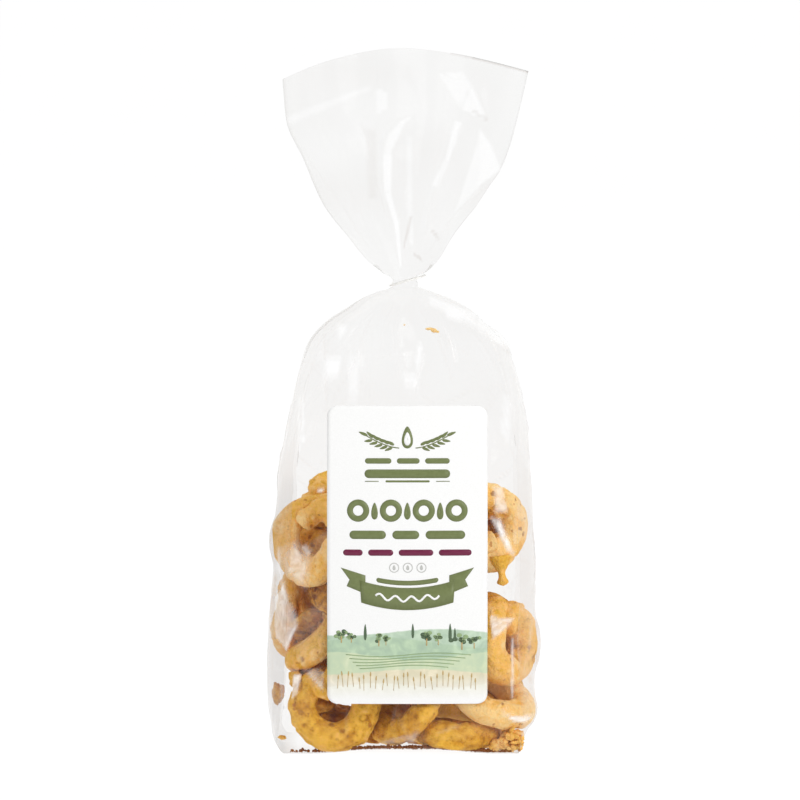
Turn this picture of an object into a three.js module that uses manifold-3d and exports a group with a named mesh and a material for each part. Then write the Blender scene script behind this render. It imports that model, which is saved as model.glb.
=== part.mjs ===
// A clear film bag of ring-shaped biscuits. The bag is a tube of thin film with a pleat down each side,
// folded flat at the foot, gathered at the neck, held by a thin tie and left open in a fan above it.
// A paper label with round corners is stuck to the front. The bag stands on its foot.
// Millimetres, +Z up, the label facing -Y, the origin on the table under the middle of the bag.
import * as THREE from "three";
import { mergeVertices } from "three/addons/utils/BufferGeometryUtils.js";
import Module from "manifold-3d";

const wasm = await Module();
wasm.setup();

// The bag is described by level outlines, from the foot to the mouth. Each has a front and a back panel
// between creases, and a side pleat that stands out beyond them.
// z: height at the middle; drop: how much lower the outline's ends are; left, right: reach of the sides;
// crease: where the panels end, as a share of that reach; depth: half depth at the creases;
// bulge: how far the middle of a panel stands out beyond its creases.
const OUTLINES = [
  { z: 0, drop: 0, left: 52.4, right: 50.6, crease: 0.97, depth: 28.6, bulge: 0.5 },
  { z: 1.6, drop: 0, left: 54.8, right: 51.8, crease: 0.96, depth: 29.8, bulge: 0.8 },
  { z: 5, drop: 0, left: 57.4, right: 53.2, crease: 0.94, depth: 30.4, bulge: 1.2 },
  { z: 25, drop: 0, left: 60.2, right: 57.8, crease: 0.86, depth: 30.9, bulge: 2.6 },
  { z: 44.5, drop: 0, left: 59.9, right: 58, crease: 0.84, depth: 31, bulge: 3.4 },
  { z: 80, drop: 0, left: 57, right: 59, crease: 0.85, depth: 30.8, bulge: 3.5 },
  { z: 95, drop: 0, left: 56.4, right: 57.7, crease: 0.85, depth: 30.4, bulge: 3.2 },
  { z: 116.6, drop: 0, left: 55.2, right: 57, crease: 0.86, depth: 29.2, bulge: 2.6 },
  { z: 136.4, drop: 0, left: 51, right: 54.7, crease: 0.88, depth: 26.6, bulge: 2.2 },
  { z: 156.2, drop: 0, left: 45.7, right: 49.8, crease: 0.88, depth: 23, bulge: 2 },
  { z: 172, drop: 0, left: 41.4, right: 44.4, crease: 0.87, depth: 19, bulge: 2 },
  { z: 181.9, drop: 0, left: 33.2, right: 34.4, crease: 0.84, depth: 15, bulge: 2 },
  { z: 187.8, drop: 0, left: 24.4, right: 27.4, crease: 0.8, depth: 11.6, bulge: 1.8 },
  { z: 192.8, drop: 0, left: 17, right: 18.6, crease: 0.76, depth: 8, bulge: 1.4 },
  { z: 195.4, drop: 0, left: 10.4, right: 11.6, crease: 0.72, depth: 5, bulge: 1 },
  { z: 196.5, drop: 0, left: 6.2, right: 8.4, crease: 0.8, depth: 3.2, bulge: 1.8 },
  { z: 197.4, drop: 0, left: 4.9, right: 6.3, crease: 0.88, depth: 1.9, bulge: 2.4 },
  { z: 199.8, drop: 0, left: 4.7, right: 6.4, crease: 0.88, depth: 1.9, bulge: 2.4 },
  { z: 202, drop: 0, left: 6.9, right: 6.5, crease: 0.88, depth: 1.9, bulge: 2.4 },
  { z: 203.2, drop: 0.2, left: 9.4, right: 9.6, crease: 0.9, depth: 2.6, bulge: 2.1 },
  { z: 205, drop: 0.5, left: 11.2, right: 12, crease: 0.91, depth: 3.4, bulge: 1.6 },
  { z: 209, drop: 1.5, left: 16, right: 15, crease: 0.92, depth: 3.9, bulge: 1.8 },
  { z: 221.4, drop: 3.5, left: 26.3, right: 22.6, crease: 0.9, depth: 3.2, bulge: 3.2 },
  { z: 240.2, drop: 6, left: 36.7, right: 36.2, crease: 0.95, depth: 2.2, bulge: 4.6 },
  { z: 261, drop: 8.5, left: 43.8, right: 45.7, crease: 0.97, depth: 1.6, bulge: 4.6 },
  { z: 280.7, drop: 11, left: 51, right: 50.5, crease: 0.98, depth: 1.3, bulge: 3.2 },
  { z: 299.5, drop: 12, left: 52.4, right: 54.2, crease: 0.985, depth: 1.2, bulge: 1.2 },
];
const FOOT_Z = 0;
const NECK_Z = 199.7;
const NECK_HALF = 2.3;
const MOUTH_Z = 299.5;
// The mouth is cut a little askew: its left end is this share of the drop lower, its right end higher.
const ASKEW = 0.14;
// How the drop grows towards the ends: 1 would be straight, 2 a round curve.
const DROP_CURVE = 1.7;

// How finely the film is faceted: points across a panel and down a side pleat, and the steps between rows.
const PANEL_STEPS = 26;
const PLEAT_STEPS = 14;
const BODY_STEP = 7.5;
const GATHER_STEP = 2.4;
const GATHER_FROM_Z = 168;
const GATHER_TO_Z = 212;

// The gathers: pleats round the bag that deepen towards the neck and run out again above it.
const GATHERS = 11;
const GATHER_DEPTH = 1.6;
const GATHER_DEPTH_AT_NECK = 0.1;
const GATHER_STARTS_Z = 156;
const GATHER_DEEPEST_Z = 186;
const GATHER_ENDS_Z = 234;

// The fan above the neck is thrown into waves that spread from the neck.
const FAN_WAVE = 4.2;
const FAN_WAVES = 1.35;

// The label: paper on the front, from just above the foot to the shoulder.
const LABEL = { x: 1.8, z: 85, width: 67.8, height: 126, corner: 4.2, thick: 0.3, gap: 0.35 };
const LABEL_COLUMNS = 14;
const LABEL_STEP = 7;
const CORNER_STEPS = 4;

// The tie: one turn of thin tie round the neck, a little higher on the right, and its short twisted end.
const TIE = { x: 0.85, z: 199.7, acrossX: 6.5, acrossY: 5.1, radius: 0.4, rise: 0.28 };
const TIE_STEPS = 32;
const TIE_SIDES = 8;
const TIE_END = { length: 2.4, lift: 1.1, radius: 0.5 };

// Where biscuits press the film out in the front and back panels and in the sides.
// side: the wall; at, z: the ring's middle along that wall and its height; ring, dough: its radii.
const PRESS_OUT = 1.5;
const PRESSING = [
  { side: "front", at: -29, z: 21, ring: 14.5, dough: 7 },
  { side: "front", at: -36, z: 90, ring: 14, dough: 6.5 },
  { side: "front", at: 44, z: 46, ring: 13, dough: 7 },
  { side: "front", at: 40, z: 97, ring: 14, dough: 7 },
  { side: "back", at: -30, z: 26, ring: 14, dough: 7 },
  { side: "back", at: 4, z: 20, ring: 14, dough: 7 },
  { side: "back", at: 34, z: 30, ring: 14, dough: 7 },
  { side: "back", at: -18, z: 60, ring: 14, dough: 7 },
  { side: "back", at: 20, z: 66, ring: 14, dough: 7 },
  { side: "back", at: -36, z: 92, ring: 14, dough: 7 },
  { side: "back", at: 2, z: 100, ring: 14, dough: 7 },
  { side: "back", at: 38, z: 102, ring: 14, dough: 7 },
  { side: "left", at: -12, z: 36, ring: 13, dough: 7 },
  { side: "left", at: 10, z: 76, ring: 13, dough: 7 },
  { side: "right", at: 8, z: 30, ring: 13, dough: 7 },
  { side: "right", at: -8, z: 72, ring: 13, dough: 7 },
  { side: "right", at: 12, z: 102, ring: 13, dough: 7 },
];

const filmMaterial = new THREE.MeshStandardMaterial({ color: 0xf3f2ef, roughness: 0.12, metalness: 0 });
const paperMaterial = new THREE.MeshStandardMaterial({ color: 0xf9f8f4, roughness: 0.55, metalness: 0 });
const tieMaterial = new THREE.MeshStandardMaterial({ color: 0xe6e5e1, roughness: 0.35, metalness: 0 });

const lerp = THREE.MathUtils.lerp;
const smoothstep = THREE.MathUtils.smoothstep;

// One value of the outlines at height z, by a curve that never overshoots its neighbours.
function outlineValue(key, z) {
  const last = OUTLINES.length - 1;
  let i = 0;
  while (i < last - 1 && z > OUTLINES[i + 1].z) i++;
  const slope = (k) => (OUTLINES[k + 1][key] - OUTLINES[k][key]) / (OUTLINES[k + 1].z - OUTLINES[k].z);
  const tangent = (k) => {
    if (k === 0) return slope(0);
    if (k === last) return slope(last - 1);
    const [a, b] = [slope(k - 1), slope(k)];
    return a * b <= 0 ? 0 : (2 * a * b) / (a + b);
  };
  const [low, high] = [OUTLINES[i], OUTLINES[i + 1]];
  const h = high.z - low.z;
  const u = THREE.MathUtils.clamp((z - low.z) / h, 0, 1);
  const [u2, u3] = [u * u, u * u * u];
  return (
    (2 * u3 - 3 * u2 + 1) * low[key] +
    (u3 - 2 * u2 + u) * h * tangent(i) +
    (3 * u2 - 2 * u3) * high[key] +
    (u3 - u2) * h * tangent(i + 1)
  );
}

function outlineAt(z) {
  const at = { z };
  for (const key of ["drop", "left", "right", "crease", "depth", "bulge"]) at[key] = outlineValue(key, z);
  return at;
}

// 1 on and just round the label and 0 further out: the paper keeps the film under it smooth.
function underLabel(x, z) {
  const outX = Math.abs(x - LABEL.x) - LABEL.width / 2;
  const outZ = Math.abs(z - LABEL.z) - LABEL.height / 2;
  return 1 - smoothstep(Math.max(outX, outZ), 3, 9);
}

// How far the biscuits push a wall out at a place along it.
function pressOut(side, at, z) {
  let most = 0;
  for (const p of PRESSING) {
    if (p.side !== side) continue;
    const off = (Math.hypot(at - p.at, z - p.z) - p.ring) / p.dough;
    most = Math.max(most, Math.exp(-off * off));
  }
  return PRESS_OUT * most;
}

// The front panel's depth at x and height z, without gathers: the label lies on it.
function frontY(x, z) {
  const o = outlineAt(z);
  const q = THREE.MathUtils.clamp(x / (o.crease * (x < 0 ? o.left : o.right)), -1, 1);
  return -(o.depth + o.bulge * (1 - q * q));
}

// The outline at height z as a closed ring of points, from the middle of the left side over the front.
function ringAt(z) {
  const o = outlineAt(z);
  const creaseLeft = o.crease * o.left;
  const creaseRight = o.crease * o.right;
  const points = [];
  const panelPoint = (s, face) => {
    const x = lerp(-creaseLeft, creaseRight, s);
    const q = 2 * s - 1;
    const out = o.depth + o.bulge * (1 - q * q);
    const smooth = face === "front" ? 1 - underLabel(x, z) : 1;
    const edge = 1 - q ** 6;
    return [x, (face === "front" ? -1 : 1) * (out + smooth * edge * pressOut(face, x, z))];
  };
  const sidePoint = (s, side) => {
    const reach = side === "right" ? o.right : o.left;
    const crease = side === "right" ? creaseRight : creaseLeft;
    const y = lerp(-o.depth, o.depth, s);
    const stand = Math.sin(Math.PI * s) ** 0.85;
    const x = crease + (reach - crease) * stand + stand * 0.5 * pressOut(side, y, z);
    return [side === "right" ? x : -x, y];
  };
  const half = PLEAT_STEPS / 2;
  for (let i = half; i > 0; i--) points.push(sidePoint(i / PLEAT_STEPS, "left"));
  for (let i = 0; i < PANEL_STEPS; i++) points.push(panelPoint(i / PANEL_STEPS, "front"));
  for (let i = 0; i < PLEAT_STEPS; i++) points.push(sidePoint(i / PLEAT_STEPS, "right"));
  for (let i = PANEL_STEPS; i > 0; i--) points.push(panelPoint(i / PANEL_STEPS, "back"));
  for (let i = PLEAT_STEPS; i > half; i--) points.push(sidePoint(i / PLEAT_STEPS, "left"));

  const gather = gatherDepth(z);
  const rise = smoothstep(z, NECK_Z, MOUTH_Z);
  return points.map(([x, y], i) => {
    const share = i / points.length;
    const wobble = share + 0.013 * Math.sin(6 * Math.PI * share + 0.8);
    const pleat = Math.cos(2 * Math.PI * GATHERS * wobble);
    const radius = Math.hypot(x, y) || 1;
    const out = 1 + (gather * pleat) / radius;
    const across = x / (x < 0 ? o.left : o.right);
    return new THREE.Vector3(
      x * out,
      y * out + fanWave(across, rise),
      z - o.drop * Math.abs(across) ** DROP_CURVE * (1 - ASKEW * across),
    );
  });
}

function gatherDepth(z) {
  if (z < NECK_Z) {
    const near = smoothstep(z, GATHER_STARTS_Z, GATHER_DEEPEST_Z);
    return lerp(GATHER_DEPTH * near, GATHER_DEPTH_AT_NECK, smoothstep(z, GATHER_DEEPEST_Z, NECK_Z));
  }
  const out = lerp(GATHER_DEPTH_AT_NECK, GATHER_DEPTH * 0.6, smoothstep(z, NECK_Z, GATHER_TO_Z));
  return out * (1 - smoothstep(z, GATHER_TO_Z, GATHER_ENDS_Z));
}

function fanWave(across, rise) {
  const broad = Math.sin(Math.PI * FAN_WAVES * across + 0.7);
  const fine = 0.45 * Math.sin(Math.PI * 2.6 * FAN_WAVES * across - 0.9);
  return FAN_WAVE * rise * (broad + fine);
}

// The heights of the rows: close together where the film is gathered.
function rowHeights() {
  const heights = [FOOT_Z, 0.7, 2, 4.2];
  const climb = (from, to, step) => {
    const count = Math.max(1, Math.round((to - from) / step));
    for (let i = 1; i <= count; i++) heights.push(lerp(from, to, i / count));
  };
  climb(4.2, GATHER_FROM_Z, BODY_STEP);
  climb(GATHER_FROM_Z, NECK_Z - NECK_HALF, GATHER_STEP);
  climb(NECK_Z - NECK_HALF, NECK_Z + NECK_HALF, NECK_HALF);
  climb(NECK_Z + NECK_HALF, GATHER_TO_Z, GATHER_STEP);
  climb(GATHER_TO_Z, MOUTH_Z, BODY_STEP);
  return heights;
}

// A closed tube through rings of equally many points, with its two ends closed by strips.
function loftRings(rings) {
  const n = rings[0].length;
  const index = [];
  for (let r = 0; r + 1 < rings.length; r++) {
    for (let i = 0; i < n; i++) {
      const [a, b] = [r * n + i, r * n + ((i + 1) % n)];
      index.push(a, b, b + n, a, b + n, a + n);
    }
  }
  const closeEnd = (base, facesUp) => {
    for (let i = 0; i < n / 2; i++) {
      const [a, b] = [base + i, base + i + 1];
      const [c, d] = [base + n - i - 1, base + ((n - i) % n)];
      const triangles = [];
      if (b !== c) triangles.push([a, b, c]);
      if (a !== d) triangles.push([a, c, d]);
      for (const t of triangles) index.push(...(facesUp ? t : t.reverse()));
    }
  };
  closeEnd(0, false);
  closeEnd((rings.length - 1) * n, true);
  return shell(rings.flat(), index);
}

function shell(points, index) {
  const geometry = new THREE.BufferGeometry().setFromPoints(points);
  geometry.setIndex(index);
  geometry.computeVertexNormals();
  return geometry;
}

function filmBag() {
  return loftRings(rowHeights().map(ringAt));
}

// The label: two sheets of points that follow the front panel, joined at the rim.
function paperLabel() {
  const { x, z, width, height, corner, thick, gap } = LABEL;
  const levels = [];
  for (let i = 0; i <= CORNER_STEPS; i++) {
    const turn = (Math.PI / 2) * (i / CORNER_STEPS);
    levels.push({ up: -height / 2 + corner * (1 - Math.sin(turn)), inset: corner * (1 - Math.cos(turn)) });
  }
  levels.reverse();
  const straight = height - 2 * corner;
  const steps = Math.round(straight / LABEL_STEP);
  for (let i = 1; i < steps; i++) levels.push({ up: -straight / 2 + (straight * i) / steps, inset: 0 });
  for (let i = CORNER_STEPS; i >= 0; i--) levels.push({ up: -levels[i].up, inset: levels[i].inset });
  levels.sort((a, b) => a.up - b.up);

  const sheet = (outward) =>
    levels.flatMap(({ up, inset }) => {
      const half = width / 2 - inset;
      return Array.from({ length: LABEL_COLUMNS + 1 }, (_, c) => {
        const px = x + lerp(-half, half, c / LABEL_COLUMNS);
        return new THREE.Vector3(px, frontY(px, z + up) - outward, z + up);
      });
    });
  const points = [...sheet(gap + thick), ...sheet(gap)];
  const across = LABEL_COLUMNS + 1;
  const back = levels.length * across;
  const index = [];
  const quad = (a, b, c, d) => index.push(a, b, c, a, c, d);
  for (let r = 0; r + 1 < levels.length; r++) {
    for (let c = 0; c < LABEL_COLUMNS; c++) {
      const a = r * across + c;
      quad(a, a + 1, a + 1 + across, a + across);
      quad(back + a, back + a + across, back + a + 1 + across, back + a + 1);
    }
    const [first, end] = [r * across, r * across + LABEL_COLUMNS];
    quad(back + first, first, first + across, back + first + across);
    quad(end, back + end, back + end + across, end + across);
  }
  for (let c = 0; c < LABEL_COLUMNS; c++) {
    const top = (levels.length - 1) * across + c;
    quad(c, back + c, back + c + 1, c + 1);
    quad(top, top + 1, back + top + 1, back + top);
  }
  return shell(points, index);
}

function solidFrom(geometry) {
  const bare = geometry.index ? geometry.toNonIndexed() : geometry.clone();
  bare.deleteAttribute("normal");
  bare.deleteAttribute("uv");
  const merged = mergeVertices(bare, 1e-4);
  return new wasm.Manifold(
    new wasm.Mesh({
      numProp: 3,
      vertProperties: new Float32Array(merged.getAttribute("position").array),
      triVerts: new Uint32Array(merged.index.array),
    }),
  );
}

function geometryFrom(solid) {
  const mesh = solid.getMesh();
  const geometry = new THREE.BufferGeometry();
  const positions = new Float32Array(mesh.numVert * 3);
  for (let i = 0; i < mesh.numVert; i++) {
    positions.set(mesh.vertProperties.subarray(i * mesh.numProp, i * mesh.numProp + 3), i * 3);
  }
  geometry.setAttribute("position", new THREE.BufferAttribute(positions, 3));
  geometry.setIndex(new THREE.BufferAttribute(new Uint32Array(mesh.triVerts), 1));
  geometry.computeVertexNormals();
  return geometry;
}

// The tie: a closed turn, with its twisted end leaving it on the right.
function neckTie() {
  class Turn extends THREE.Curve {
    getPoint(t, target = new THREE.Vector3()) {
      const angle = 2 * Math.PI * t;
      const x = TIE.acrossX * Math.cos(angle);
      return target.set(TIE.x + x, TIE.acrossY * Math.sin(angle), TIE.z + TIE.rise * x);
    }
  }
  const turn = new THREE.TubeGeometry(new Turn(), TIE_STEPS, TIE.radius, TIE_SIDES, true);
  const start = new THREE.Vector3(TIE.x + TIE.acrossX, 0, TIE.z + TIE.rise * TIE.acrossX);
  const way = new THREE.Vector3(TIE_END.length, 0, TIE_END.lift);
  const end = new THREE.CylinderGeometry(TIE_END.radius * 0.8, TIE_END.radius, way.length(), TIE_SIDES);
  end.applyQuaternion(
    new THREE.Quaternion().setFromUnitVectors(new THREE.Vector3(0, 1, 0), way.clone().normalize()),
  );
  end.translate(start.x + way.x / 2, 0, start.z + way.z / 2);
  return geometryFrom(solidFrom(turn).add(solidFrom(end)));
}

const part = new THREE.Group();
for (const [name, geometry, material] of [
  ["bag", filmBag(), filmMaterial],
  ["label", paperLabel(), paperMaterial],
  ["tie", neckTie(), tieMaterial],
]) {
  const mesh = new THREE.Mesh(geometry, material);
  mesh.name = name;
  part.add(mesh);
}

export default part;
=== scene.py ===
# A clear film bag of taralli: ring-shaped biscuits, a film bag with a folded foot, a paper label and a tie.
# Lengths are written in millimetres and made into Blender's metres where a mesh is made.
import math

import bpy
import numpy as np
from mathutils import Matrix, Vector


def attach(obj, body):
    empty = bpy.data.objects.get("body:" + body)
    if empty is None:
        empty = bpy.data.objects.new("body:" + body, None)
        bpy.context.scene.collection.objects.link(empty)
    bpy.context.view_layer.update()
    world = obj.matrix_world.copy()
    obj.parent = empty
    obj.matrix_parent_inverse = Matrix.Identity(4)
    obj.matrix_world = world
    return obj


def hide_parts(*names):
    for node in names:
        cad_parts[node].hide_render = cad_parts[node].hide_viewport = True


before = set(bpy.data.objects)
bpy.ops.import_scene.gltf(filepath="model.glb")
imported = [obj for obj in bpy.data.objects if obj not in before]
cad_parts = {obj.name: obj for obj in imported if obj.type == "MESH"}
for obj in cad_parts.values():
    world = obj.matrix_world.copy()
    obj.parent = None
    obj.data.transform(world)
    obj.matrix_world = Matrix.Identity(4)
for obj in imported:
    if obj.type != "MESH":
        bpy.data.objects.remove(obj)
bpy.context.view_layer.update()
MM = 0.001

# ---- The bag's form ----------------------------------------------------------------------------
# The film is a flat tube, 320 mm round, with a pleat down each side. Filled, it stands on its folded
# foot, the pleats open out, and the neck is gathered by hand before it is tied.

# Level outlines from the foot to the mouth, in mm. drop: how much lower the outline's ends are than its
# middle; left, right: reach of the sides; crease: where the flat panels end, as a share of that reach;
# depth: half depth at the creases; bulge: how far the middle of a panel stands out beyond its creases.
OUTLINE_NAMES = ("z", "drop", "left", "right", "crease", "depth", "bulge")
OUTLINES = np.array([
    (0, 0, 52.4, 50.6, 0.97, 28.6, 0.5),
    (1.6, 0, 54.8, 51.8, 0.96, 29.8, 0.8),
    (5, 0, 57.4, 53.2, 0.94, 30.4, 1.2),
    (25, 0, 60.2, 57.8, 0.86, 30.9, 2.6),
    (44.5, 0, 59.9, 58, 0.84, 31, 3.4),
    (80, 0, 57, 59, 0.85, 30.8, 3.5),
    (95, 0, 56.4, 57.7, 0.85, 30.4, 3.2),
    (116.6, 0, 55.2, 57, 0.86, 29.2, 2.6),
    (136.4, 0, 51, 54.7, 0.88, 26.6, 2.2),
    (156.2, 0, 45.7, 49.8, 0.88, 23, 2),
    (172, 0, 41.4, 44.4, 0.87, 19, 2),
    (181.9, 0, 33.2, 34.4, 0.84, 15, 2),
    (187.8, 0, 24.4, 27.4, 0.8, 11.6, 1.8),
    (192.8, 0, 17, 18.6, 0.76, 8, 1.4),
    (195.4, 0, 10.4, 11.6, 0.72, 5, 1),
    (196.5, 0, 6.2, 8.4, 0.8, 3.2, 1.8),
    (197.4, 0, 4.9, 6.3, 0.88, 1.9, 2.4),
    (199.8, 0, 4.7, 6.4, 0.88, 1.9, 2.4),
    (202, 0, 6.9, 6.5, 0.88, 1.9, 2.4),
    (203.2, 0.2, 9.4, 9.6, 0.9, 2.6, 2.1),
    (205, 0.5, 11.2, 12, 0.91, 3.4, 1.6),
    (209, 1.5, 16, 15, 0.92, 3.9, 1.8),
    (221.4, 3.5, 26.3, 22.6, 0.9, 3.2, 3.2),
    (240.2, 6, 36.7, 36.2, 0.95, 2.2, 4.6),
    (261, 8.5, 43.8, 45.7, 0.97, 1.6, 4.6),
    (280.7, 11, 51, 50.5, 0.98, 1.3, 3.2),
    (299.5, 12, 52.4, 54.2, 0.985, 1.2, 1.2),
])
NECK_Z = 199.7
MOUTH_Z = 299.5
# The mouth is cut a little askew: its left end is this share of the drop lower, its right end higher.
ASKEW = 0.14
# How the drop grows towards the ends: 1 would be straight, 2 a round curve.
DROP_CURVE = 1.7
# The label's middle and size: the film under it stays flat.
LABEL_X, LABEL_Z = 1.8, 85.0
LABEL_WIDE, LABEL_HIGH, LABEL_CORNER = 67.8, 126.0, 4.2


def outline_at(z):
    """The outline's values at heights z, by a curve that never overshoots its neighbours."""
    z = np.asarray(z, float)
    heights = OUTLINES[:, 0]
    slope = np.diff(OUTLINES, axis=0) / np.diff(heights)[:, None]
    low, high = slope[:-1], slope[1:]
    both = np.where(low * high > 0, low + high, 1)
    tangent = np.vstack([slope[:1], np.where(low * high > 0, 2 * low * high / both, 0), slope[-1:]])
    i = np.clip(np.searchsorted(heights, z, side="right") - 1, 0, len(heights) - 2)
    step = (heights[i + 1] - heights[i])[..., None]
    u = np.clip((z - heights[i])[..., None] / step, 0, 1)
    values = (
        (2 * u**3 - 3 * u**2 + 1) * OUTLINES[i]
        + (u**3 - 2 * u**2 + u) * step * tangent[i]
        + (3 * u**2 - 2 * u**3) * OUTLINES[i + 1]
        + (u**3 - u**2) * step * tangent[i + 1]
    )
    return {name: values[..., k] for k, name in enumerate(OUTLINE_NAMES)}


def smoothstep(value, low, high):
    """A share that grows softly from 0 at low to 1 at high."""
    t = np.clip((value - low) / (high - low), 0, 1)
    return t * t * (3 - 2 * t)


def front_depth(x, z):
    """How far the front panel stands out of the middle plane at x and height z."""
    o = outline_at(z)
    q = np.clip(x / (o["crease"] * np.where(x < 0, o["left"], o["right"])), -1, 1)
    return o["depth"] + o["bulge"] * (1 - q * q)


# ---- The taralli -------------------------------------------------------------------------------
# Ropes of dough with oil and chopped almond and onion, each closed into a ring by pressing its ends
# together, boiled and then baked until golden. About 250 g of them are poured into the bag.

# The rings, placed one by one: middle (x, y, z), the way the ring's axis points, its ring and dough radii,
# # where along the ring its ends meet and to which side the upper end lies (degrees, 0 inwards, 90 on
# # top), how brown and how craggy it is, both from about 0 to 1. First those that show beside the label.
SHOWN_RINGS = [
    ((-29, -23, 19.8), (0.05, -1, 0.16), 13.2, 6.5, 128, 40, 0.5, 0.75),
    ((-35.5, -9, 47.4), (0.76, 0.05, -0.65), 13.4, 6.4, 20, 0, 0.3, 0.2),
    ((-37, -15, 89.0), (-0.5, -0.85, 0.12), 14, 6.3, 112, 25, 0.16, 0.8),
    ((-25, 7, 105.3), (0.1, -0.45, 0.9), 13, 6.2, 176, 60, 0.38, 1.0),
    ((-21, -12, 69.2), (0.1, -0.6, 0.8), 13.2, 6.4, 170, 60, 1.05, 1.0),
    ((-48, 13, 53.4), (-1, -0.1, 0.1), 12.6, 6, 30, 0, 0.3, 0.4),
    ((3, -16, 16.8), (-0.45, -0.55, 0.7), 13, 6.2, 80, 0, 0.7, 0.2),
    ((21, -14.5, 6.7), (0.02, -0.02, 1), 13.2, 6.4, 80, 0, 0.68, 0.1),
    ((37.5, -13.5, 21.3), (0.42, -0.25, 0.87), 13.8, 6.4, 120, 0, -0.06, 0.3),
    ((43.5, -13.5, 46.0), (0.8, -0.6, 0.08), 12.6, 7.2, 100, 30, 0.26, 0.5),
    ((34.4, -17, 94.9), (0.3, -0.95, 0.05), 13, 6.5, 262, 20, -0.04, 0.5),
    ((12, -20, 72.2), (0.1, -1, 0.3), 13.4, 6.6, 20, 0, 0.4, 0.3),
]
# Then those behind them, of which parts show through the gaps; the browner ones are painted dark for the
# shade in those gaps.
BACK_RINGS = [
    ((-19, 12, 32.6), (0.25, -1, 0.1), 13.4, 6.5, 200, 0, 0.6, 0.4),
    ((-28, 16, 60.3), (-0.2, -1, 0.15), 13.2, 6.4, 60, 0, 0.65, 0.5),
    ((-29, 9, 86.0), (0.05, -0.25, 0.97), 13.4, 6.4, 160, 0, 0.6, 0.5),
    ((-22, 10, 7.9), (0.1, 0.1, 1), 12.4, 6, 240, 0, 1.02, 0.3),
    ((31, 13, 90.9), (0.1, -0.75, 0.65), 13.2, 6.4, 240, 0, 0.55, 0.4),
    ((33, 12, 40.5), (0.3, -0.9, 0.2), 13.4, 6.5, 20, 0, 0.92, 0.3),
    ((34, 14, 13.8), (-0.1, -0.8, 0.6), 13.2, 6.4, 100, 0, 0.55, 0.3),
]
# And a few that the label hides, poured in over the others.
HIDDEN_RINGS = 6
HIDDEN_MAJOR, HIDDEN_MINOR = (12.8, 14.4), (6.2, 7.2)
RING_SEED = 20
# The pouring: each ring is a chain of balls that keep this far apart. The hidden rings sink from this
# height, slower and slower, and then all settle.
CLEARANCE = 0.4
CHAIN = 16
POURED_FROM, POURED_APART = 125, 44
FALL_STEP = 0.8
FALL_STEPS = 800
SETTLE_STEPS = 450
# How firmly the placed rings are held in their places while the others fall and settle, and how far the
# shown and the back ones give way when they are pushed.
HELD_FALLING, HELD_SETTLING = 0.2, 0.04
SHOWN_GIVE, BACK_GIVE = 0.35, 0.6


def off_label(x, z):
    """How far a place on the front is outside the label, less than 0 under it."""
    return np.maximum(np.abs(x - LABEL_X) - LABEL_WIDE / 2, np.abs(z - LABEL_Z) - LABEL_HIGH / 2)


def ring_basis(axis):
    """Three directions at right angles for a ring, the third along its axis."""
    axis = np.array(axis, float) / np.linalg.norm(axis)
    side = np.cross((0, 0, 1), axis)
    side = np.array((1.0, 0, 0)) if np.linalg.norm(side) < 0.1 else side / np.linalg.norm(side)
    return np.array([side, np.cross(axis, side), axis])


def inside_film(points, radius):
    """Points moved back so that balls of that radius stay inside the bag."""
    o = outline_at(points[..., 2])
    x, y = points[..., 0], points[..., 1]
    out = front_depth(x, points[..., 2]) - radius
    y = np.clip(y, -out, out)
    reach = np.where(x < 0, o["left"], o["right"])
    stand = np.sin(np.pi * np.clip((y / o["depth"] + 1) / 2, 0.02, 0.98)) ** 0.85
    side = reach * (o["crease"] + (1 - o["crease"]) * stand) - radius + 0.8
    z = np.maximum(points[..., 2], radius + 0.5)
    return np.stack([np.clip(x, -side, side), y, z], axis=-1)


def flat_circle(count):
    """Points round a circle of radius 1 that lies flat."""
    turn = np.arange(count) * 2 * math.pi / count
    return np.stack([np.cos(turn), np.sin(turn), 0 * turn], axis=-1)


def pushed_apart(balls, radius, reach):
    """How far each ball is pushed by those it runs into, and how deep the overlaps are."""
    square = (balls**2).sum(1)
    a, b = np.nonzero(square[:, None] + square[None] - 2 * balls @ balls.T < reach)
    gap = balls[a] - balls[b]
    length = np.linalg.norm(gap, axis=1, keepdims=True) + 1e-6
    overlap = (radius[a] + radius[b])[:, None] - length
    push = np.zeros_like(balls)
    np.add.at(push, a, 0.5 * overlap / length * gap)
    np.add.at(push, b, -0.5 * overlap / length * gap)
    return push, overlap


def made_stiff(chain, local):
    """The chains, bent by the pushes, as stiff rings again, and the way each ring lies."""
    middle = chain.mean(1, keepdims=True)
    u, _, v = np.linalg.svd(np.swapaxes(local, 1, 2) @ (chain - middle))
    u[:, :, 2] *= np.sign(np.linalg.det(u @ v))[:, None]
    bases = u @ v
    return middle + local @ bases, bases


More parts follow.
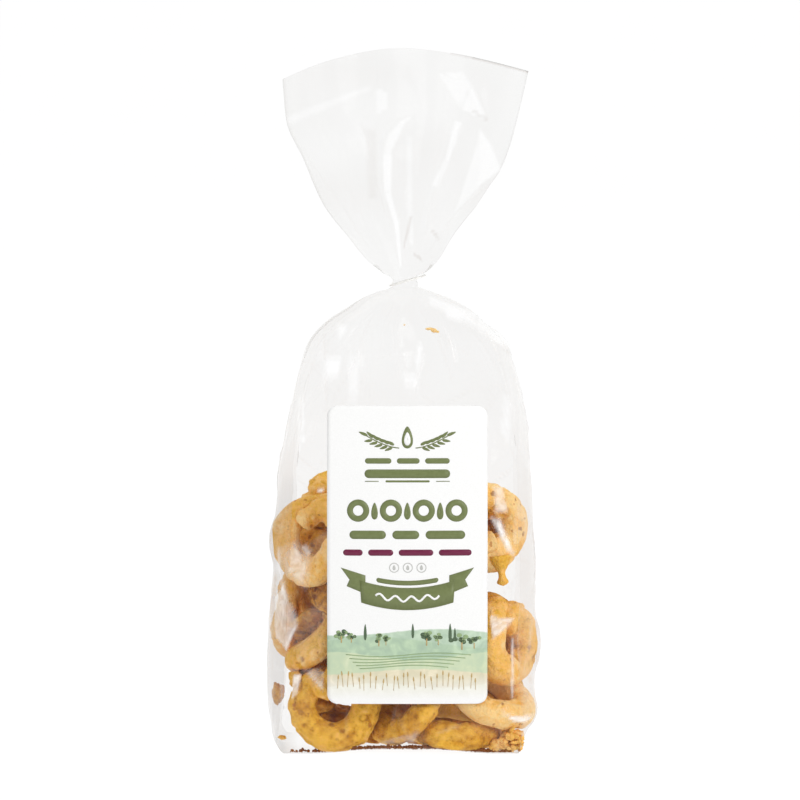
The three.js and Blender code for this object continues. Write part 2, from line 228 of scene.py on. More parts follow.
def poured_rings():
    """Middles, bases and radii of all rings: the placed ones near their places, the others poured round
    them."""
    rng = np.random.default_rng(RING_SEED)
    placed = SHOWN_RINGS + BACK_RINGS
    rings = [(np.array(ring[0], float), ring_basis(ring[1]), *ring[2:4]) for ring in placed]
    for i in range(HIDDEN_RINGS):
        middle = np.array((rng.uniform(-12, 12), rng.uniform(2, 12), POURED_FROM + POURED_APART * i))
        axis = rng.normal(size=3) * (1, 1, 0.7)
        rings.append((middle, ring_basis(axis), rng.uniform(*HIDDEN_MAJOR), rng.uniform(*HIDDEN_MINOR)))
    major = np.array([r[2] for r in rings])
    minor = np.array([r[3] for r in rings])
    local = flat_circle(CHAIN)[None] * major[:, None, None]
    home = np.array([r[0] for r in rings])[:, None] + local @ np.array([r[1] for r in rings])
    chain = home.copy()
    held = len(placed)
    radius = np.repeat(minor + CLEARANCE, CHAIN)
    own = np.repeat(np.arange(len(rings)), CHAIN)
    reach = np.where(own[:, None] < own[None], (radius[:, None] + radius[None]) ** 2, -1)
    for step in range(FALL_STEPS + SETTLE_STEPS):
        falling = step < FALL_STEPS
        if falling:
            chain[held:, :, 2] -= FALL_STEP * (1 - 0.9 * step / FALL_STEPS)
        chain[:held] += (HELD_FALLING if falling else HELD_SETTLING) * (home[:held] - chain[:held])
        balls = chain.reshape(-1, 3)
        push, overlap = pushed_apart(balls, radius, reach)
        push += inside_film(balls + push, radius) - balls - push
        push = push.reshape(chain.shape)
        push[: len(SHOWN_RINGS)] *= SHOWN_GIVE
        push[len(SHOWN_RINGS) : held] *= BACK_GIVE
        # A ring that is pressed at a few places moves as far as one that is pressed all round.
        pressed = (np.abs(push).sum(-1, keepdims=True) > 1e-4).sum(1, keepdims=True)
        chain += push * np.minimum(CHAIN / np.maximum(pressed, 1), 6) * 0.35
        chain, bases = made_stiff(chain, local)
    print(f"rings settled, deepest overlap {overlap.max():.2f} mm, top {chain[..., 2].max() + 7:.0f} mm")
    return chain.mean(1), bases, major, minor


ring_middles, ring_bases, ring_majors, ring_minors = poured_rings()


# The random relief repeats after this many lumps.
LATTICE = 24


def lumps(points, size, seed):
    """Smooth random relief from -1 to 1, with lumps of that size."""
    lattice = np.random.default_rng(seed).uniform(-1, 1, (LATTICE,) * 3)
    cell = np.floor(points / size).astype(int)
    t = points / size - cell
    t = t * t * (3 - 2 * t)
    total = np.zeros(points.shape[:-1])
    for corner in np.ndindex(2, 2, 2):
        i = (cell + corner) % LATTICE
        total += np.prod(np.where(corner, t, 1 - t), axis=-1) * lattice[i[..., 0], i[..., 1], i[..., 2]]
    return total


def grid_faces(rows, columns, wrap_rows=False, wrap_columns=True):
    """Four-sided faces over a grid of points, row by row."""
    r = np.arange(rows if wrap_rows else rows - 1)[:, None]
    c = np.arange(columns if wrap_columns else columns - 1)[None]
    up, right = (r + 1) % rows, (c + 1) % columns
    corners = (r * columns + c, r * columns + right, up * columns + right, up * columns + c)
    return np.stack(corners, axis=-1).reshape(-1, 4)


def tube_faces(rows, columns, first=0):
    """Faces of a tube that is shut at both ends, its points counted from first."""
    ends = (0, (rows - 1) * columns)
    start, end = ([first + at + c for c in range(columns)] for at in ends)
    return (grid_faces(rows, columns) + first).tolist() + [start[::-1], end]


def add_piece(name, points_mm, faces):
    """A mesh object of that name, its points given in millimetres."""
    mesh = bpy.data.meshes.new(name)
    faces = faces.tolist() if isinstance(faces, np.ndarray) else faces
    mesh.from_pydata((np.asarray(points_mm).reshape(-1, 3) * MM).tolist(), [], faces)
    mesh.validate()
    mesh.polygons.foreach_set("use_smooth", [True] * len(mesh.polygons))
    piece = bpy.data.objects.new(name, mesh)
    bpy.context.scene.collection.objects.link(piece)
    return piece


def add_values(piece, name, values):
    """A number for each of the piece's points, which its material can read."""
    attribute = piece.data.attributes.new(name, "FLOAT", "POINT")
    attribute.data.foreach_set("value", np.asarray(values, np.float32).ravel())


class Batch:
    """Bits of one dough, gathered into one mesh with their brownness and how deep they lie in hollows, which
    the crust paints as shade.
    """

    def __init__(self):
        self.points, self.faces, self.brown, self.hollows, self.count = [], [], [], [], 0

    def keep(self, grid, brown, hollow=0.0):
        """Add a grid of points as a bit that is shut at both ends."""
        rows, columns = grid.shape[:2]
        self.points.append(grid.reshape(-1, 3))
        self.faces.extend(tube_faces(rows, columns, self.count))
        self.brown.append(np.full(rows * columns, brown))
        self.hollows.append((hollow + np.zeros((rows, columns))).ravel())
        self.count += rows * columns

    def piece(self, name):
        """The whole batch as a mesh object."""
        piece = add_piece(name, np.concatenate(self.points), self.faces)
        add_values(piece, "brownness", np.concatenate(self.brown))
        add_values(piece, "hollow", np.concatenate(self.hollows))
        return piece


# How far a ring's ends lie over each other, in radians, and how far the last is lifted, as a share of
# the dough's radius.
END_OVERLAP, END_LIFT = 0.85, 0.82
# The crust's relief, as size of the lumps, seed and height: the skin everywhere, and what is added where
# it is craggy.
SKIN_LUMPS = ((8, 1, 0.5), (3.6, 2, 0.3), (1.8, 3, 0.15))
CRAG_LUMPS = ((3.0, 4, 0.75), (1.6, 5, 0.5))
# How far the crust may press the film out.
FILM_GIVE = 1.3


def dough_ring(k, along, across, seam_degrees, lay_degrees, crag):
    """One baked ring, a rope whose ends lie over each other: its points, and how deep each lies in a
    hollow, which the crust paints as shade."""
    rng = np.random.default_rng(RING_SEED + 1 + k)
    major, minor = ring_majors[k], ring_minors[k]
    s = np.linspace(0, 1, along)[:, None]
    phi = (np.arange(across) * 2 * math.pi / across)[None]
    phase = rng.uniform(0, 2 * math.pi, 6)
    t = math.radians(seam_degrees) + s * (2 * math.pi + END_OVERLAP) - END_OVERLAP / 2
    from_end = np.minimum(s, 1 - s) * (2 * math.pi + END_OVERLAP)
    # The last end lies beside or over the first.
    first = 1.3 * (s < 0.5) * (1 - smoothstep(from_end, 0.2, 1.3))
    last = END_LIFT * minor * (s >= 0.5) * (1 - smoothstep(from_end, 0.35, 1.35))
    lay = math.radians(lay_degrees)
    # A rope bent by hand is neither quite round nor flat, nor everywhere as thick.
    path = major * (1 + 0.035 * np.cos(2 * t + phase[0]) + 0.02 * np.cos(3 * t + phase[1]))
    path = path + first * math.cos(lay) - last * math.cos(lay)
    lift = 0.9 * np.cos(2 * t + phase[2]) - first * math.sin(lay) + last * math.sin(lay)
    dough = minor * (0.97 + 0.05 * np.cos(t + phase[3]) + 0.03 * np.cos(3 * t + phase[4]))
    dough = dough * (1 - 0.2 * (1 - smoothstep(from_end, 0.1, 1.1)))
    rounded = np.clip(from_end / 0.3, 0.002, 1)
    dough = dough * np.sqrt(rounded * (2 - rounded))
    ring = np.stack([
        (path + dough * np.cos(phi)) * np.cos(t),
        (path + dough * np.cos(phi)) * np.sin(t),
        lift + 0.94 * dough * np.sin(phi),
    ], axis=-1)
    direction = np.stack([np.cos(phi) * np.cos(t), np.cos(phi) * np.sin(t), np.sin(phi) + 0 * t], axis=-1)
    place = ring + 60 * (k + 1)
    # Smooth skin with shallow lumps and dents, and crags and cracks where the dough tore and rose.
    rough = smoothstep(lumps(place, 9, 12), 0.35 - 0.9 * crag, 0.75 - 0.9 * crag)
    rough = np.maximum(rough, 0.8 * np.exp(-((from_end / 0.5) ** 2)))
    cracks = -smoothstep(-np.abs(lumps(place, 5.5, 11)), -0.13, 0)
    dents = -smoothstep(lumps(place, 2.8, 9), 0.4, 0.75)
    relief = sum(high * lumps(place, size, seed) for size, seed, high in SKIN_LUMPS) + 0.45 * dents
    torn = sum(high * lumps(place, size, seed) for size, seed, high in CRAG_LUMPS) + 0.8 * cracks
    relief = relief + rough * torn
    relief = np.minimum(relief, 0.9) * np.minimum(dough / 3, 1)
    ring = ring + relief[..., None] * direction
    # The underside is a little flat from the baking tray.
    ring[..., 2] = np.maximum(ring[..., 2], lift - 0.86 * minor)
    ring = ring_middles[k] + ring @ ring_bases[k]
    # The film holds it in, flat under the label.
    held_in = inside_film(ring, -FILM_GIVE)
    x, z = held_in[..., 0], held_in[..., 2]
    foremost = 0.7 - 2.0 * smoothstep(off_label(x, z), 0, 4) - front_depth(x, z)
    held_in[..., 1] = np.maximum(held_in[..., 1], foremost)
    held_in[..., 2] = np.maximum(z, 0.6)
    return held_in, np.clip(-relief, -1, 1.5)


def dough_tail(root, way, length):
    """A drawn-out end of dough: a funnel that thins to a small ball."""
    along, across = 22, 20
    s = np.linspace(0, 1, along)[:, None]
    phi = (np.arange(across) * 2 * math.pi / across)[None]
    # Wide where it leaves the ring, thin from two thirds of its length, with a ball near its tip.
    radius = 1.5 + 3.6 * (1 - smoothstep(s, 0, 0.62)) + 1.0 * np.exp(-(((s - 0.87) / 0.1) ** 2))
    radius = radius * np.sqrt(np.clip((1 - s) / 0.08, 0.0004, 1))
    basis = ring_basis(way)
    line = np.array(root, float) + s[..., None] * length * basis[2]
    round_way = np.cos(phi)[..., None] * basis[0] + np.sin(phi)[..., None] * basis[1]
    points = line + radius[..., None] * round_way
    return points + 0.3 * lumps(points, 2.2, 6)[..., None] * round_way


# Points along and across a ring.
SHOWN_GRID = (120, 38)
BACK_GRID = (84, 30)
HIDDEN_GRID = (64, 26)
# The drawn-out end that hangs from the upper right ring.
TAIL_ROOT, TAIL_WAY, TAIL_LONG = (41, -24, 84), (0.12, -0.1, -1), 13
# How brown the drawn-out end is, and how much painted hollow shade it gets.
TAIL_BROWN, TAIL_HOLLOW_SHADE = 0.45, 0.2


def make_taralli():
    """All rings and the drawn-out end as one mesh."""
    batch = Batch()
    rng = np.random.default_rng(RING_SEED + 50)
    placed = SHOWN_RINGS + BACK_RINGS
    for k in range(len(ring_majors)):
        grid = SHOWN_GRID if k < len(SHOWN_RINGS) else BACK_GRID if k < len(placed) else HIDDEN_GRID
        any_ring = (rng.uniform(0, 360), rng.uniform(0, 90), rng.uniform(0.25, 0.65), rng.uniform(0.1, 0.7))
        seam, lay, tone, crag = placed[k][4:] if k < len(placed) else any_ring
        surface, hollow = dough_ring(k, *grid, seam, lay, crag)
        batch.keep(surface, tone, hollow)
    batch.keep(dough_tail(TAIL_ROOT, TAIL_WAY, TAIL_LONG), TAIL_BROWN, TAIL_HOLLOW_SHADE)
    return batch.piece("taralli")


def srgb(red, green, blue):
    """A colour as seen on a screen, 0 to 255, in the shader's linear numbers."""
    values = [c / 255 for c in (red, green, blue)]
    return (*[c / 12.92 if c < 0.04045 else ((c + 0.055) / 1.055) ** 2.4 for c in values], 1)


class Finish:
    """A material under construction: add() makes a node, sets its inputs and gives back its first output."""

    def __init__(self, name):
        self.material = bpy.data.materials.new(name)
        self.material.use_nodes = True
        self.tree = self.material.node_tree
        self.shader = self.tree.nodes["Principled BSDF"]
        self.place = self.add("ShaderNodeTexCoord", output="Object")

    def add(self, kind, inputs=None, output=0, **settings):
        node = self.tree.nodes.new(kind)
        for name, value in settings.items():
            setattr(node, name, value)
        self.set(node, inputs or {})
        return node.outputs[output]

    def set(self, node, inputs):
        for name, value in inputs.items():
            if isinstance(value, bpy.types.NodeSocket):
                self.tree.links.new(value, node.inputs[name])
            else:
                node.inputs[name].default_value = value

    def noise(self, size_mm, detail=2, output="Fac", **inputs):
        values = {"Vector": self.place, "Scale": 1000 / size_mm, "Detail": detail, **inputs}
        return self.add("ShaderNodeTexNoise", values, output)

    def math(self, operation, first, second=0.0, third=0.0):
        return self.add("ShaderNodeMath", {0: first, 1: second, 2: third}, operation=operation)

    def ramp(self, factor, *stops):
        """Colours or greys at places along factor, as (place, colour)."""
        node = self.tree.nodes.new("ShaderNodeValToRGB")
        self.set(node, {"Fac": factor})
        for _ in stops[2:]:
            node.color_ramp.elements.new(0.5)
        for element, (place, colour) in zip(node.color_ramp.elements, stops):
            element.position = place
            element.color = colour if isinstance(colour, tuple) else (colour, colour, colour, 1)
        return node.outputs["Color"]

    def mix(self, factor, first, second, blend="MIX"):
        node = self.tree.nodes.new("ShaderNodeMix")
        node.data_type, node.blend_type = "RGBA", blend
        self.set(node, {0: factor, 6: first, 7: second})
        return node.outputs[2]

    def value(self, name):
        return self.add("ShaderNodeAttribute", output="Fac", attribute_name=name)

    def bump(self, height, depth_mm, strength=1.0, under=None):
        inputs = {"Height": height, "Distance": depth_mm * MM, "Strength": strength}
        if under is not None:
            inputs["Normal"] = under
        return self.add("ShaderNodeBump", inputs, "Normal")


def baked_dough():
    """Matt golden crust, browner in patches, with bits of onion skin; shade is painted in, darker in hollows
    and pores, paler where it rose.
    """
    finish = Finish("baked_dough")
    tone = finish.math("MULTIPLY_ADD", finish.noise(10, 3), 0.95, finish.value("brownness"))
    tone = finish.math("MULTIPLY_ADD", finish.noise(2.4, 4), 0.85, tone)
    # Painted shade: points deep in hollows are made browner, raised ones paler.
    tone = finish.math("MULTIPLY_ADD", finish.value("hollow"), 0.34, tone)
    browned_and_shaded = finish.math("MULTIPLY_ADD", tone, 0.75, -0.62)
    crust = finish.ramp(
        browned_and_shaded,
        (0.0, srgb(255, 214, 145)), (0.2, srgb(253, 195, 103)), (0.42, srgb(242, 187, 68)),
        (0.66, srgb(214, 150, 42)), (1.0, srgb(136, 74, 12)),
    )
    # Bits of onion and bran: irregular brown specks of two sizes, more in some places than in others.
    shift = finish.noise(1.6, 2, output="Color")
    reach = (1.6 * MM,) * 3
    ragged = finish.add(
        "ShaderNodeVectorMath", {0: shift, 1: reach, 2: finish.place}, operation="MULTIPLY_ADD"
    )
    for size_mm, most, colour in ((5.2, 0.13, (142, 74, 26)), (2.9, 0.12, (180, 108, 46))):
        cells = finish.add("ShaderNodeTexVoronoi", {"Vector": ragged, "Scale": 1000 / size_mm}, "Distance")
        chance = finish.math("MULTIPLY_ADD", finish.noise(size_mm * 1.7, 0), 0.9, most - 0.5)
        speck = finish.ramp(finish.math("SUBTRACT", chance, cells), (0.0, 0.0), (0.12, 0.68))
        crust = finish.mix(speck, crust, srgb(*colour))
    # Pores: small pits whose shade is painted, darker at their middles.
    pore_cells = finish.add("ShaderNodeTexVoronoi", {"Vector": ragged, "Scale": 620.0}, "Distance")
    shaded_pores = finish.ramp(pore_cells, (0.0, srgb(150, 96, 48)), (0.34, 1.0))
    # The pores' painted shade shows little in the pale crust.
    depth = finish.ramp(browned_and_shaded, (0.15, 0.06), (0.6, 0.3))
    crust = finish.mix(depth, crust, finish.mix(1.0, crust, shaded_pores, "MULTIPLY"))
    grain = finish.bump(finish.noise(0.9, 3), 0.62, 1.0)
    lumpy = finish.bump(finish.noise(3.2, 4), 1.3, 0.9, grain)
    pitted = finish.bump(shaded_pores, 0.4, finish.ramp(browned_and_shaded, (0.15, 0.3), (0.6, 0.8)), lumpy)
    finish.set(finish.shader, {
        "Base Color": crust, "Roughness": finish.ramp(finish.noise(3, 2), (0.3, 0.5), (0.7, 0.68)),
        "Normal": pitted, "IOR": 1.28,
        "Subsurface Weight": 0.1, "Subsurface Scale": 1.2 * MM, "Subsurface Radius": (1.0, 0.5, 0.25),
    })
    return finish.material


taralli = make_taralli()
taralli.data.materials.append(baked_dough())
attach(taralli, "root")
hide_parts("bag")


# ---- The film bag ------------------------------------------------------------------------------
# Crisp clear film, a seamed tube with a pleat down each side. The biscuits press it out, it is drawn
# tight between them, and handling has left it full of sharp creases. The mouth is cut straight.

# The flat widths of a panel and a pleat, and how long the tube is round.
PANEL = 100.0
PLEAT = 60.0
GIRTH = 2 * PANEL + 2 * PLEAT
# Where the walls start along the girth: half a left pleat, the front panel, the right pleat, the back
# panel and the other half of the left pleat.
WALLS = np.array([0, PLEAT / 2, PLEAT / 2 + PANEL, 1.5 * PLEAT + PANEL, 1.5 * PLEAT + 2 * PANEL])
FRONT, RIGHT, BACK, LEFT_END = 1, 2, 3, 4
# The distance between points round the tube, closest on the front, and the rows of points.
FRONT_STEP, PLEAT_STEP, BACK_STEP = 0.8, 1.2, 1.6
FOOT_ROWS = 7
ROWS = 262
# How far the film sinks in between the rings.
SLACK = 1.6
# The gathers all round the neck: how many, and how deep below it, where it is tied and above it.
GATHERS = 11
GATHER_BELOW, GATHER_TIED, GATHER_ABOVE = 1.6, 0.1, 1.3
# How far the fan's waves swing to the front and back, and how far its pleats fold in, as a share of the
# way to the middle.
FAN_WAVE = 4.2
FOLD_LEFT, FOLD_RIGHT = 0.78, 0.5
# The front edge of the foot is drawn up a little in its middle.
FOOT_RISE, FOOT_RISE_WIDE = 1.8, 27


def foot_rise(x, y, z):
    """How far the film is drawn up at a point near the foot."""
    near = smoothstep(-y, 22, 28) * (1 - smoothstep(z, 1, 12))
    return FOOT_RISE * near * np.exp(-((x / FOOT_RISE_WIDE) ** 4))


def girth_places():
    """Places round the tube, from the middle of the left pleat over the front."""
    ends = (*WALLS[1:], GIRTH)
    steps = (PLEAT_STEP, FRONT_STEP, PLEAT_STEP, BACK_STEP, PLEAT_STEP)
    return np.concatenate([np.arange(low, high, step) for low, high, step in zip(WALLS, ends, steps)])


def film_row_heights():
    """Heights of the rows of points: closer together where the film is gathered."""
    z = np.linspace(0, MOUTH_Z, 3000)
    closeness = 1 + 1.0 * np.exp(-(((z - NECK_Z) / 16) ** 2)) + 1.2 * np.exp(-z / 4)
    share = np.concatenate([[0], np.cumsum(0.5 * (closeness[1:] + closeness[:-1]))])
    return np.interp(np.linspace(0, share[-1], ROWS), share, z)


def film_form(girth_mm, z):
    """Where the film is, from its place round the tube (from the middle of the left pleat, over the
    front) and its height."""
    o = outline_at(z)
    crease_left, crease_right = o["crease"] * o["left"], o["crease"] * o["right"]
    wall = np.searchsorted(WALLS, girth_mm, side="right") - 1
    # Across the panels, from the left crease to the right one.
    s_front = np.clip((girth_mm - WALLS[FRONT]) / PANEL, 0, 1)
    s_back = np.clip(1 - (girth_mm - WALLS[BACK]) / PANEL, 0, 1)
    s = np.where(wall == FRONT, s_front, s_back)
    panel_x = -crease_left + s * (crease_left + crease_right)
    panel_y = o["depth"] + o["bulge"] * (1 - (2 * s - 1) ** 2)
    # Down the pleats, from the front crease to the back one. Above the neck they fold inwards.
    right = wall == RIGHT
    t = np.where(wall == 0, 0.5 - girth_mm / PLEAT, 0)
    t = np.where(wall == LEFT_END, 1 - (girth_mm - WALLS[LEFT_END]) / PLEAT, t)
    t = np.where(right, (girth_mm - WALLS[RIGHT]) / PLEAT, t)
    crease = np.where(right, crease_right, crease_left)
    reach = np.where(right, o["right"], o["left"])
    bowed = np.sin(np.pi * t) ** 0.85
    folded = 1 - np.abs(2 * t - 1)
    inward = np.where(right, FOLD_RIGHT, FOLD_LEFT) * crease * smoothstep(z, 201, 226)
    pleat_x = crease + (reach - crease) * bowed * (z < NECK_Z) - inward * folded
    pleat_x = np.where(right, pleat_x, -pleat_x)
    pleat_y = o["depth"] * (2 * t - 1)
    panel = (wall == FRONT) | (wall == BACK)
    x = np.where(panel, panel_x, pleat_x)
    y = np.where(panel, np.where(wall == FRONT, -1, 1) * panel_y, pleat_y)

    # The gathers deepen towards the neck and run out again above it.
    share = girth_mm / GIRTH
    phase = GATHERS * (share + 0.013 * np.sin(6 * np.pi * share + 0.8))
    gather = 1 - 4 * np.abs(phase - np.floor(phase) - 0.5)
    uneven = 0.62 + 0.38 * np.sin(2 * np.pi * (3 * share + 0.17)) * np.sin(2 * np.pi * (5 * share + 0.4))
    at_neck = smoothstep(z, 186, 197)
    below = GATHER_BELOW * uneven * smoothstep(z, 160, 187) * (1 - at_neck) + GATHER_TIED * at_neck
    above = GATHER_TIED + GATHER_ABOVE * smoothstep(z, 201, 214) * (1 - smoothstep(z, 214, 238))
    depth = np.where(z < NECK_Z, below, above * (1 - smoothstep(z, 220, 238)))
    radius = np.maximum(np.hypot(x, y), 1)
    x, y = x * (1 + depth * gather / radius), y * (1 + depth * gather / radius)

    # The fan above the neck is thrown into waves.
    across = x / np.where(x < 0, o["left"], o["right"])
    rise = smoothstep(z, NECK_Z, MOUTH_Z)
    broad = np.sin(math.pi * 1.35 * across + 0.7)
    fine = 0.45 * np.sin(math.pi * 3.51 * across - 0.9)
    y = y + FAN_WAVE * rise * (broad + fine)
    drop = o["drop"] * np.abs(across) ** DROP_CURVE * (1 - ASKEW * across)
    return np.stack([x, y, z - drop], axis=-1)


def grid_normals(grid):
    """Outward normals of a grid of points that is closed sideways."""
    along = np.roll(grid, -1, axis=1) - np.roll(grid, 1, axis=1)
    up = np.gradient(grid, axis=0)
    normal = np.cross(along, up)
    return normal / np.maximum(np.linalg.norm(normal, axis=-1, keepdims=True), 1e-9)


# Each ring presses as a chain of this many balls, a little larger than its dough. Balls further off in
# height or deeper inside than this don't press, and where none does, the film's reach is this far inside.
PRESS_CHAIN, PRESS_MORE = 40, 1.0
PRESS_NEAR, PRESS_DEEP = 9, 22
NO_REACH = -9.0
# No ring lies higher than this.
FILLED_TO = 135


def pressed_out(grid, normals):
    """How far the biscuits reach out past each point of the film, along its normal."""
    circles = flat_circle(PRESS_CHAIN)[None] * ring_majors[:, None, None]
    balls = (ring_middles[:, None] + circles @ ring_bases).reshape(-1, 3)
    radius = np.repeat(ring_minors + PRESS_MORE, PRESS_CHAIN)
    reach = np.full(grid.shape[:2], NO_REACH)
    for row in np.nonzero(grid[:, 0, 2] < FILLED_TO)[0]:
        near = np.abs(balls[:, 2] - grid[row, 0, 2]) < PRESS_NEAR
        away = balls[near][None] - grid[row][:, None]
        out = (away * normals[row][:, None]).sum(-1)
        aside = (away**2).sum(-1) - out**2
        inside = radius[near][None] ** 2 - aside
        presses = (inside > 0) & (out > -PRESS_DEEP)
        height = np.where(presses, out + np.sqrt(np.maximum(inside, 0)), NO_REACH)
        reach[row] = height.max(1, initial=NO_REACH)
    return reach


def drawn_tight(reach, rest, rounds=260, pull=0.006):
    """The film between the places that are pressed out: it sinks to its rest in smooth saddles."""
    out = np.maximum(reach, rest)
    for _ in range(rounds):
        around = 0.5 * (np.roll(out, 1, 1) + np.roll(out, -1, 1))
        up = out.copy()
        up[1:-1] = 0.5 * (out[2:] + out[:-2])
        out = (1 - pull) * (0.6 * around + 0.4 * up) + pull * rest
        out = np.maximum(out, reach)
    return out


def ridges(u, v, creases):
    """Sharp folds over a grid, as heights and as how near each point is to a fold's edge. Each crease is its
    two ends (u0, v0, u1, v1), its width and its height."""
    height, edge = np.zeros(u.shape), np.zeros(u.shape)
    for u0, v0, u1, v1, width, high in creases:
        length = math.hypot(u1 - u0, v1 - v0)
        du, dv = (u1 - u0) / length, (v1 - v0) / length
        along = ((u - u0) * du + (v - v0) * dv) / length
        away = (v - v0) * du - (u - u0) * dv
        away = away + 0.15 * width * np.sin(along * 5 + u0)
        # Steep on one side, easy on the other, and running out at both ends.
        taper = np.clip(1 - (2 * along - 1) ** 4, 0, 1)
        ridge = np.clip(1 - np.where(away < 0, -away / width, away / (2.2 * width)), 0, 1)
        height = height + high * ridge * taper
        edge = np.maximum(edge, abs(high) * np.exp(-((away / 0.7) ** 2)) * taper)
    return height, edge


def facets(x, z, corner_lists):
    """How strongly each point belongs to one of the film's flat places, each of which is given by its
    corners, its strength and how softly it ends."""
    total = np.zeros(x.shape)
    for corners, strength, soft in corner_lists:
        corners = np.array(corners, float)
        middle = corners.mean(0)
        within = np.full(x.shape, 99.0)
        for (x0, z0), (x1, z1) in zip(corners, np.roll(corners, -1, axis=0)):
            nx, nz = z1 - z0, x0 - x1
            size = math.hypot(nx, nz) * math.copysign(1, (middle[0] - x0) * nx + (middle[1] - z0) * nz)
            within = np.minimum(within, ((x - x0) * nx + (z - z0) * nz) / size)
        total = np.maximum(total, strength * smoothstep(within, -0.3 * soft, soft))
    return total


def chain_of(points, width, height):
    """A longer fold, as creases from each point to the next."""
    return [(*a, *b, width, height) for a, b in zip(points, points[1:])]


# The folds that show in front, by their points (x, z) in the front view, width and height.
FRONT_FOLDS = [
    *chain_of(
        [(4.7, 270.8), (-6.5, 263.9), (-8.6, 250.1), (-7.7, 237.2), (-2.2, 216.5), (-2.2, 207.6)], 2.5, 1.3
    ),
    *chain_of([(15.9, 287.7), (28, 285.7), (36.6, 268)], 2.5, 0.9),
    *chain_of([(24.5, 266.9), (13.3, 237.8), (9, 219.4)], 2.5, 1.2),
    *chain_of([(42, 245.1), (21, 227.4), (10, 211.5)], 3, -1.2),
    *chain_of([(-17.6, 268.9), (-12, 247.1), (-7.7, 226.4)], 3, -0.9),
    *chain_of([(-44, 259), (-27, 233.3), (-12, 211.5)], 3, 0.9),
    *chain_of([(-34.4, 178.9), (-33, 163.1), (-32.3, 147.3)], 2.5, 0.9),
    *chain_of([(-17.6, 172.4), (-24.1, 160.1)], 2, 0.8),
    *chain_of([(-14.2, 167.3), (7.7, 170.6)], 1.8, 0.7),
    *chain_of([(-1, 172), (4, 152.2), (8.6, 171)], 1.8, 0.8),
    *chain_of([(8, 190.8), (17.6, 188.1), (32, 178.9), (45.2, 169)], 2.5, 1.1),
    *chain_of([(38, 181.9), (46, 166.1), (50.5, 148.3)], 2.5, 0.9),
    *chain_of([(-48.6, 121), (-33, 121.4)], 1.5, 0.5),
    *chain_of(
        [(-52.9, 88), (-51.6, 73.3), (-48.2, 65.6), (-44.7, 55.3), (-49, 47.9), (-50.7, 44.5)], 1.8, 1.2
    ),
    *chain_of([(-57, 37), (-44, 35.5), (-33, 36.5)], 1.8, 0.9),
    *chain_of([(-41.7, 35.9), (-33.1, 26.9)], 1.4, 0.7),
    *chain_of([(37.4, 101), (47.7, 84.5)], 1.6, 0.9),
    *chain_of([(48, 108), (47.5, 84)], 1.4, 0.7),
    *chain_of([(37, 58.7), (47.3, 57.8), (38.3, 49.2)], 1.4, 0.8),
    *chain_of([(46.4, 52), (46.6, 24)], 1.4, 0.8),
    *chain_of([(41.7, 20), (43.4, 16.6), (53.8, 14)], 1.4, 0.9),
    *chain_of([(-13, 2), (7, 10.5)], 1.2, 0.5),
    *chain_of([(14, 9.5), (25, 13)], 1.2, 0.5),
]
# Painted glare over the biscuits: milky facets that stand for the film's reflections, by their corners
# # (x, z), strength and how softly they end.
PAINTED_GLARE_FACETS = [
    ([(37.8, 114.6), (42.6, 114.6), (44.8, 103), (38.7, 103)], 0.5, 1.4),
    ([(36.5, 101.5), (41.5, 100.5), (48.2, 83), (43.8, 86.6)], 0.8, 1.6),
    ([(36.6, 59.6), (47.3, 57.8), (37.8, 48.8)], 0.6, 0.7),
    ([(-52.5, 87), (-45.6, 92), (-38, 84), (-41, 69.9), (-51.2, 76.3)], 0.5, 5),
    ([(-43.9, 89.1), (-42.2, 83.1), (-38, 86.5), (-40.9, 89.9)], 0.35, 0.7),
    ([(-40.9, 90.3), (-32, 95.8), (-32, 86.5), (-38.4, 81.9)], 0.07, 0.8),
    ([(-49.8, 49.3), (-43.5, 61.2), (-32, 66.2), (-32, 45.1), (-43.5, 37.5)], 0.07, 2.5),
    ([(-56.3, 65.6), (-51.6, 72.9), (-44.7, 55.3), (-49.5, 43.2), (-55.5, 48.4)], 0.45, 0.8),
    ([(-46.9, 34.6), (-43, 34.6), (-44.7, 26), (-47.7, 22.6)], 0.65, 0.9),
    ([(-41.5, 35.5), (-33.5, 35.5), (-33.5, 26)], 0.3, 0.9),
    ([(40.4, 20), (43, 17.4), (53.8, 15.7), (52, 13.1), (43.4, 14.4)], 0.7, 0.8),
    ([(46.6, 52.7), (56.8, 60.4), (56.8, 26.9), (46.6, 24.7)], 0.03, 0.6),
    ([(-36.6, 113.7), (-33.5, 113.7), (-33.5, 111.6), (-36.2, 111.6)], 0.8, 0.8),
    ([(-13.3, 2), (7.3, 10.5), (5, 3)], 0.2, 1.4),
    ([(45.8, 50), (47, 50), (46.9, 24), (45.7, 24)], 0.4, 0.4),
    ([(-53.6, 30), (-50.4, 30), (-50, 16), (-53.2, 16)], 0.3, 0.8),
]
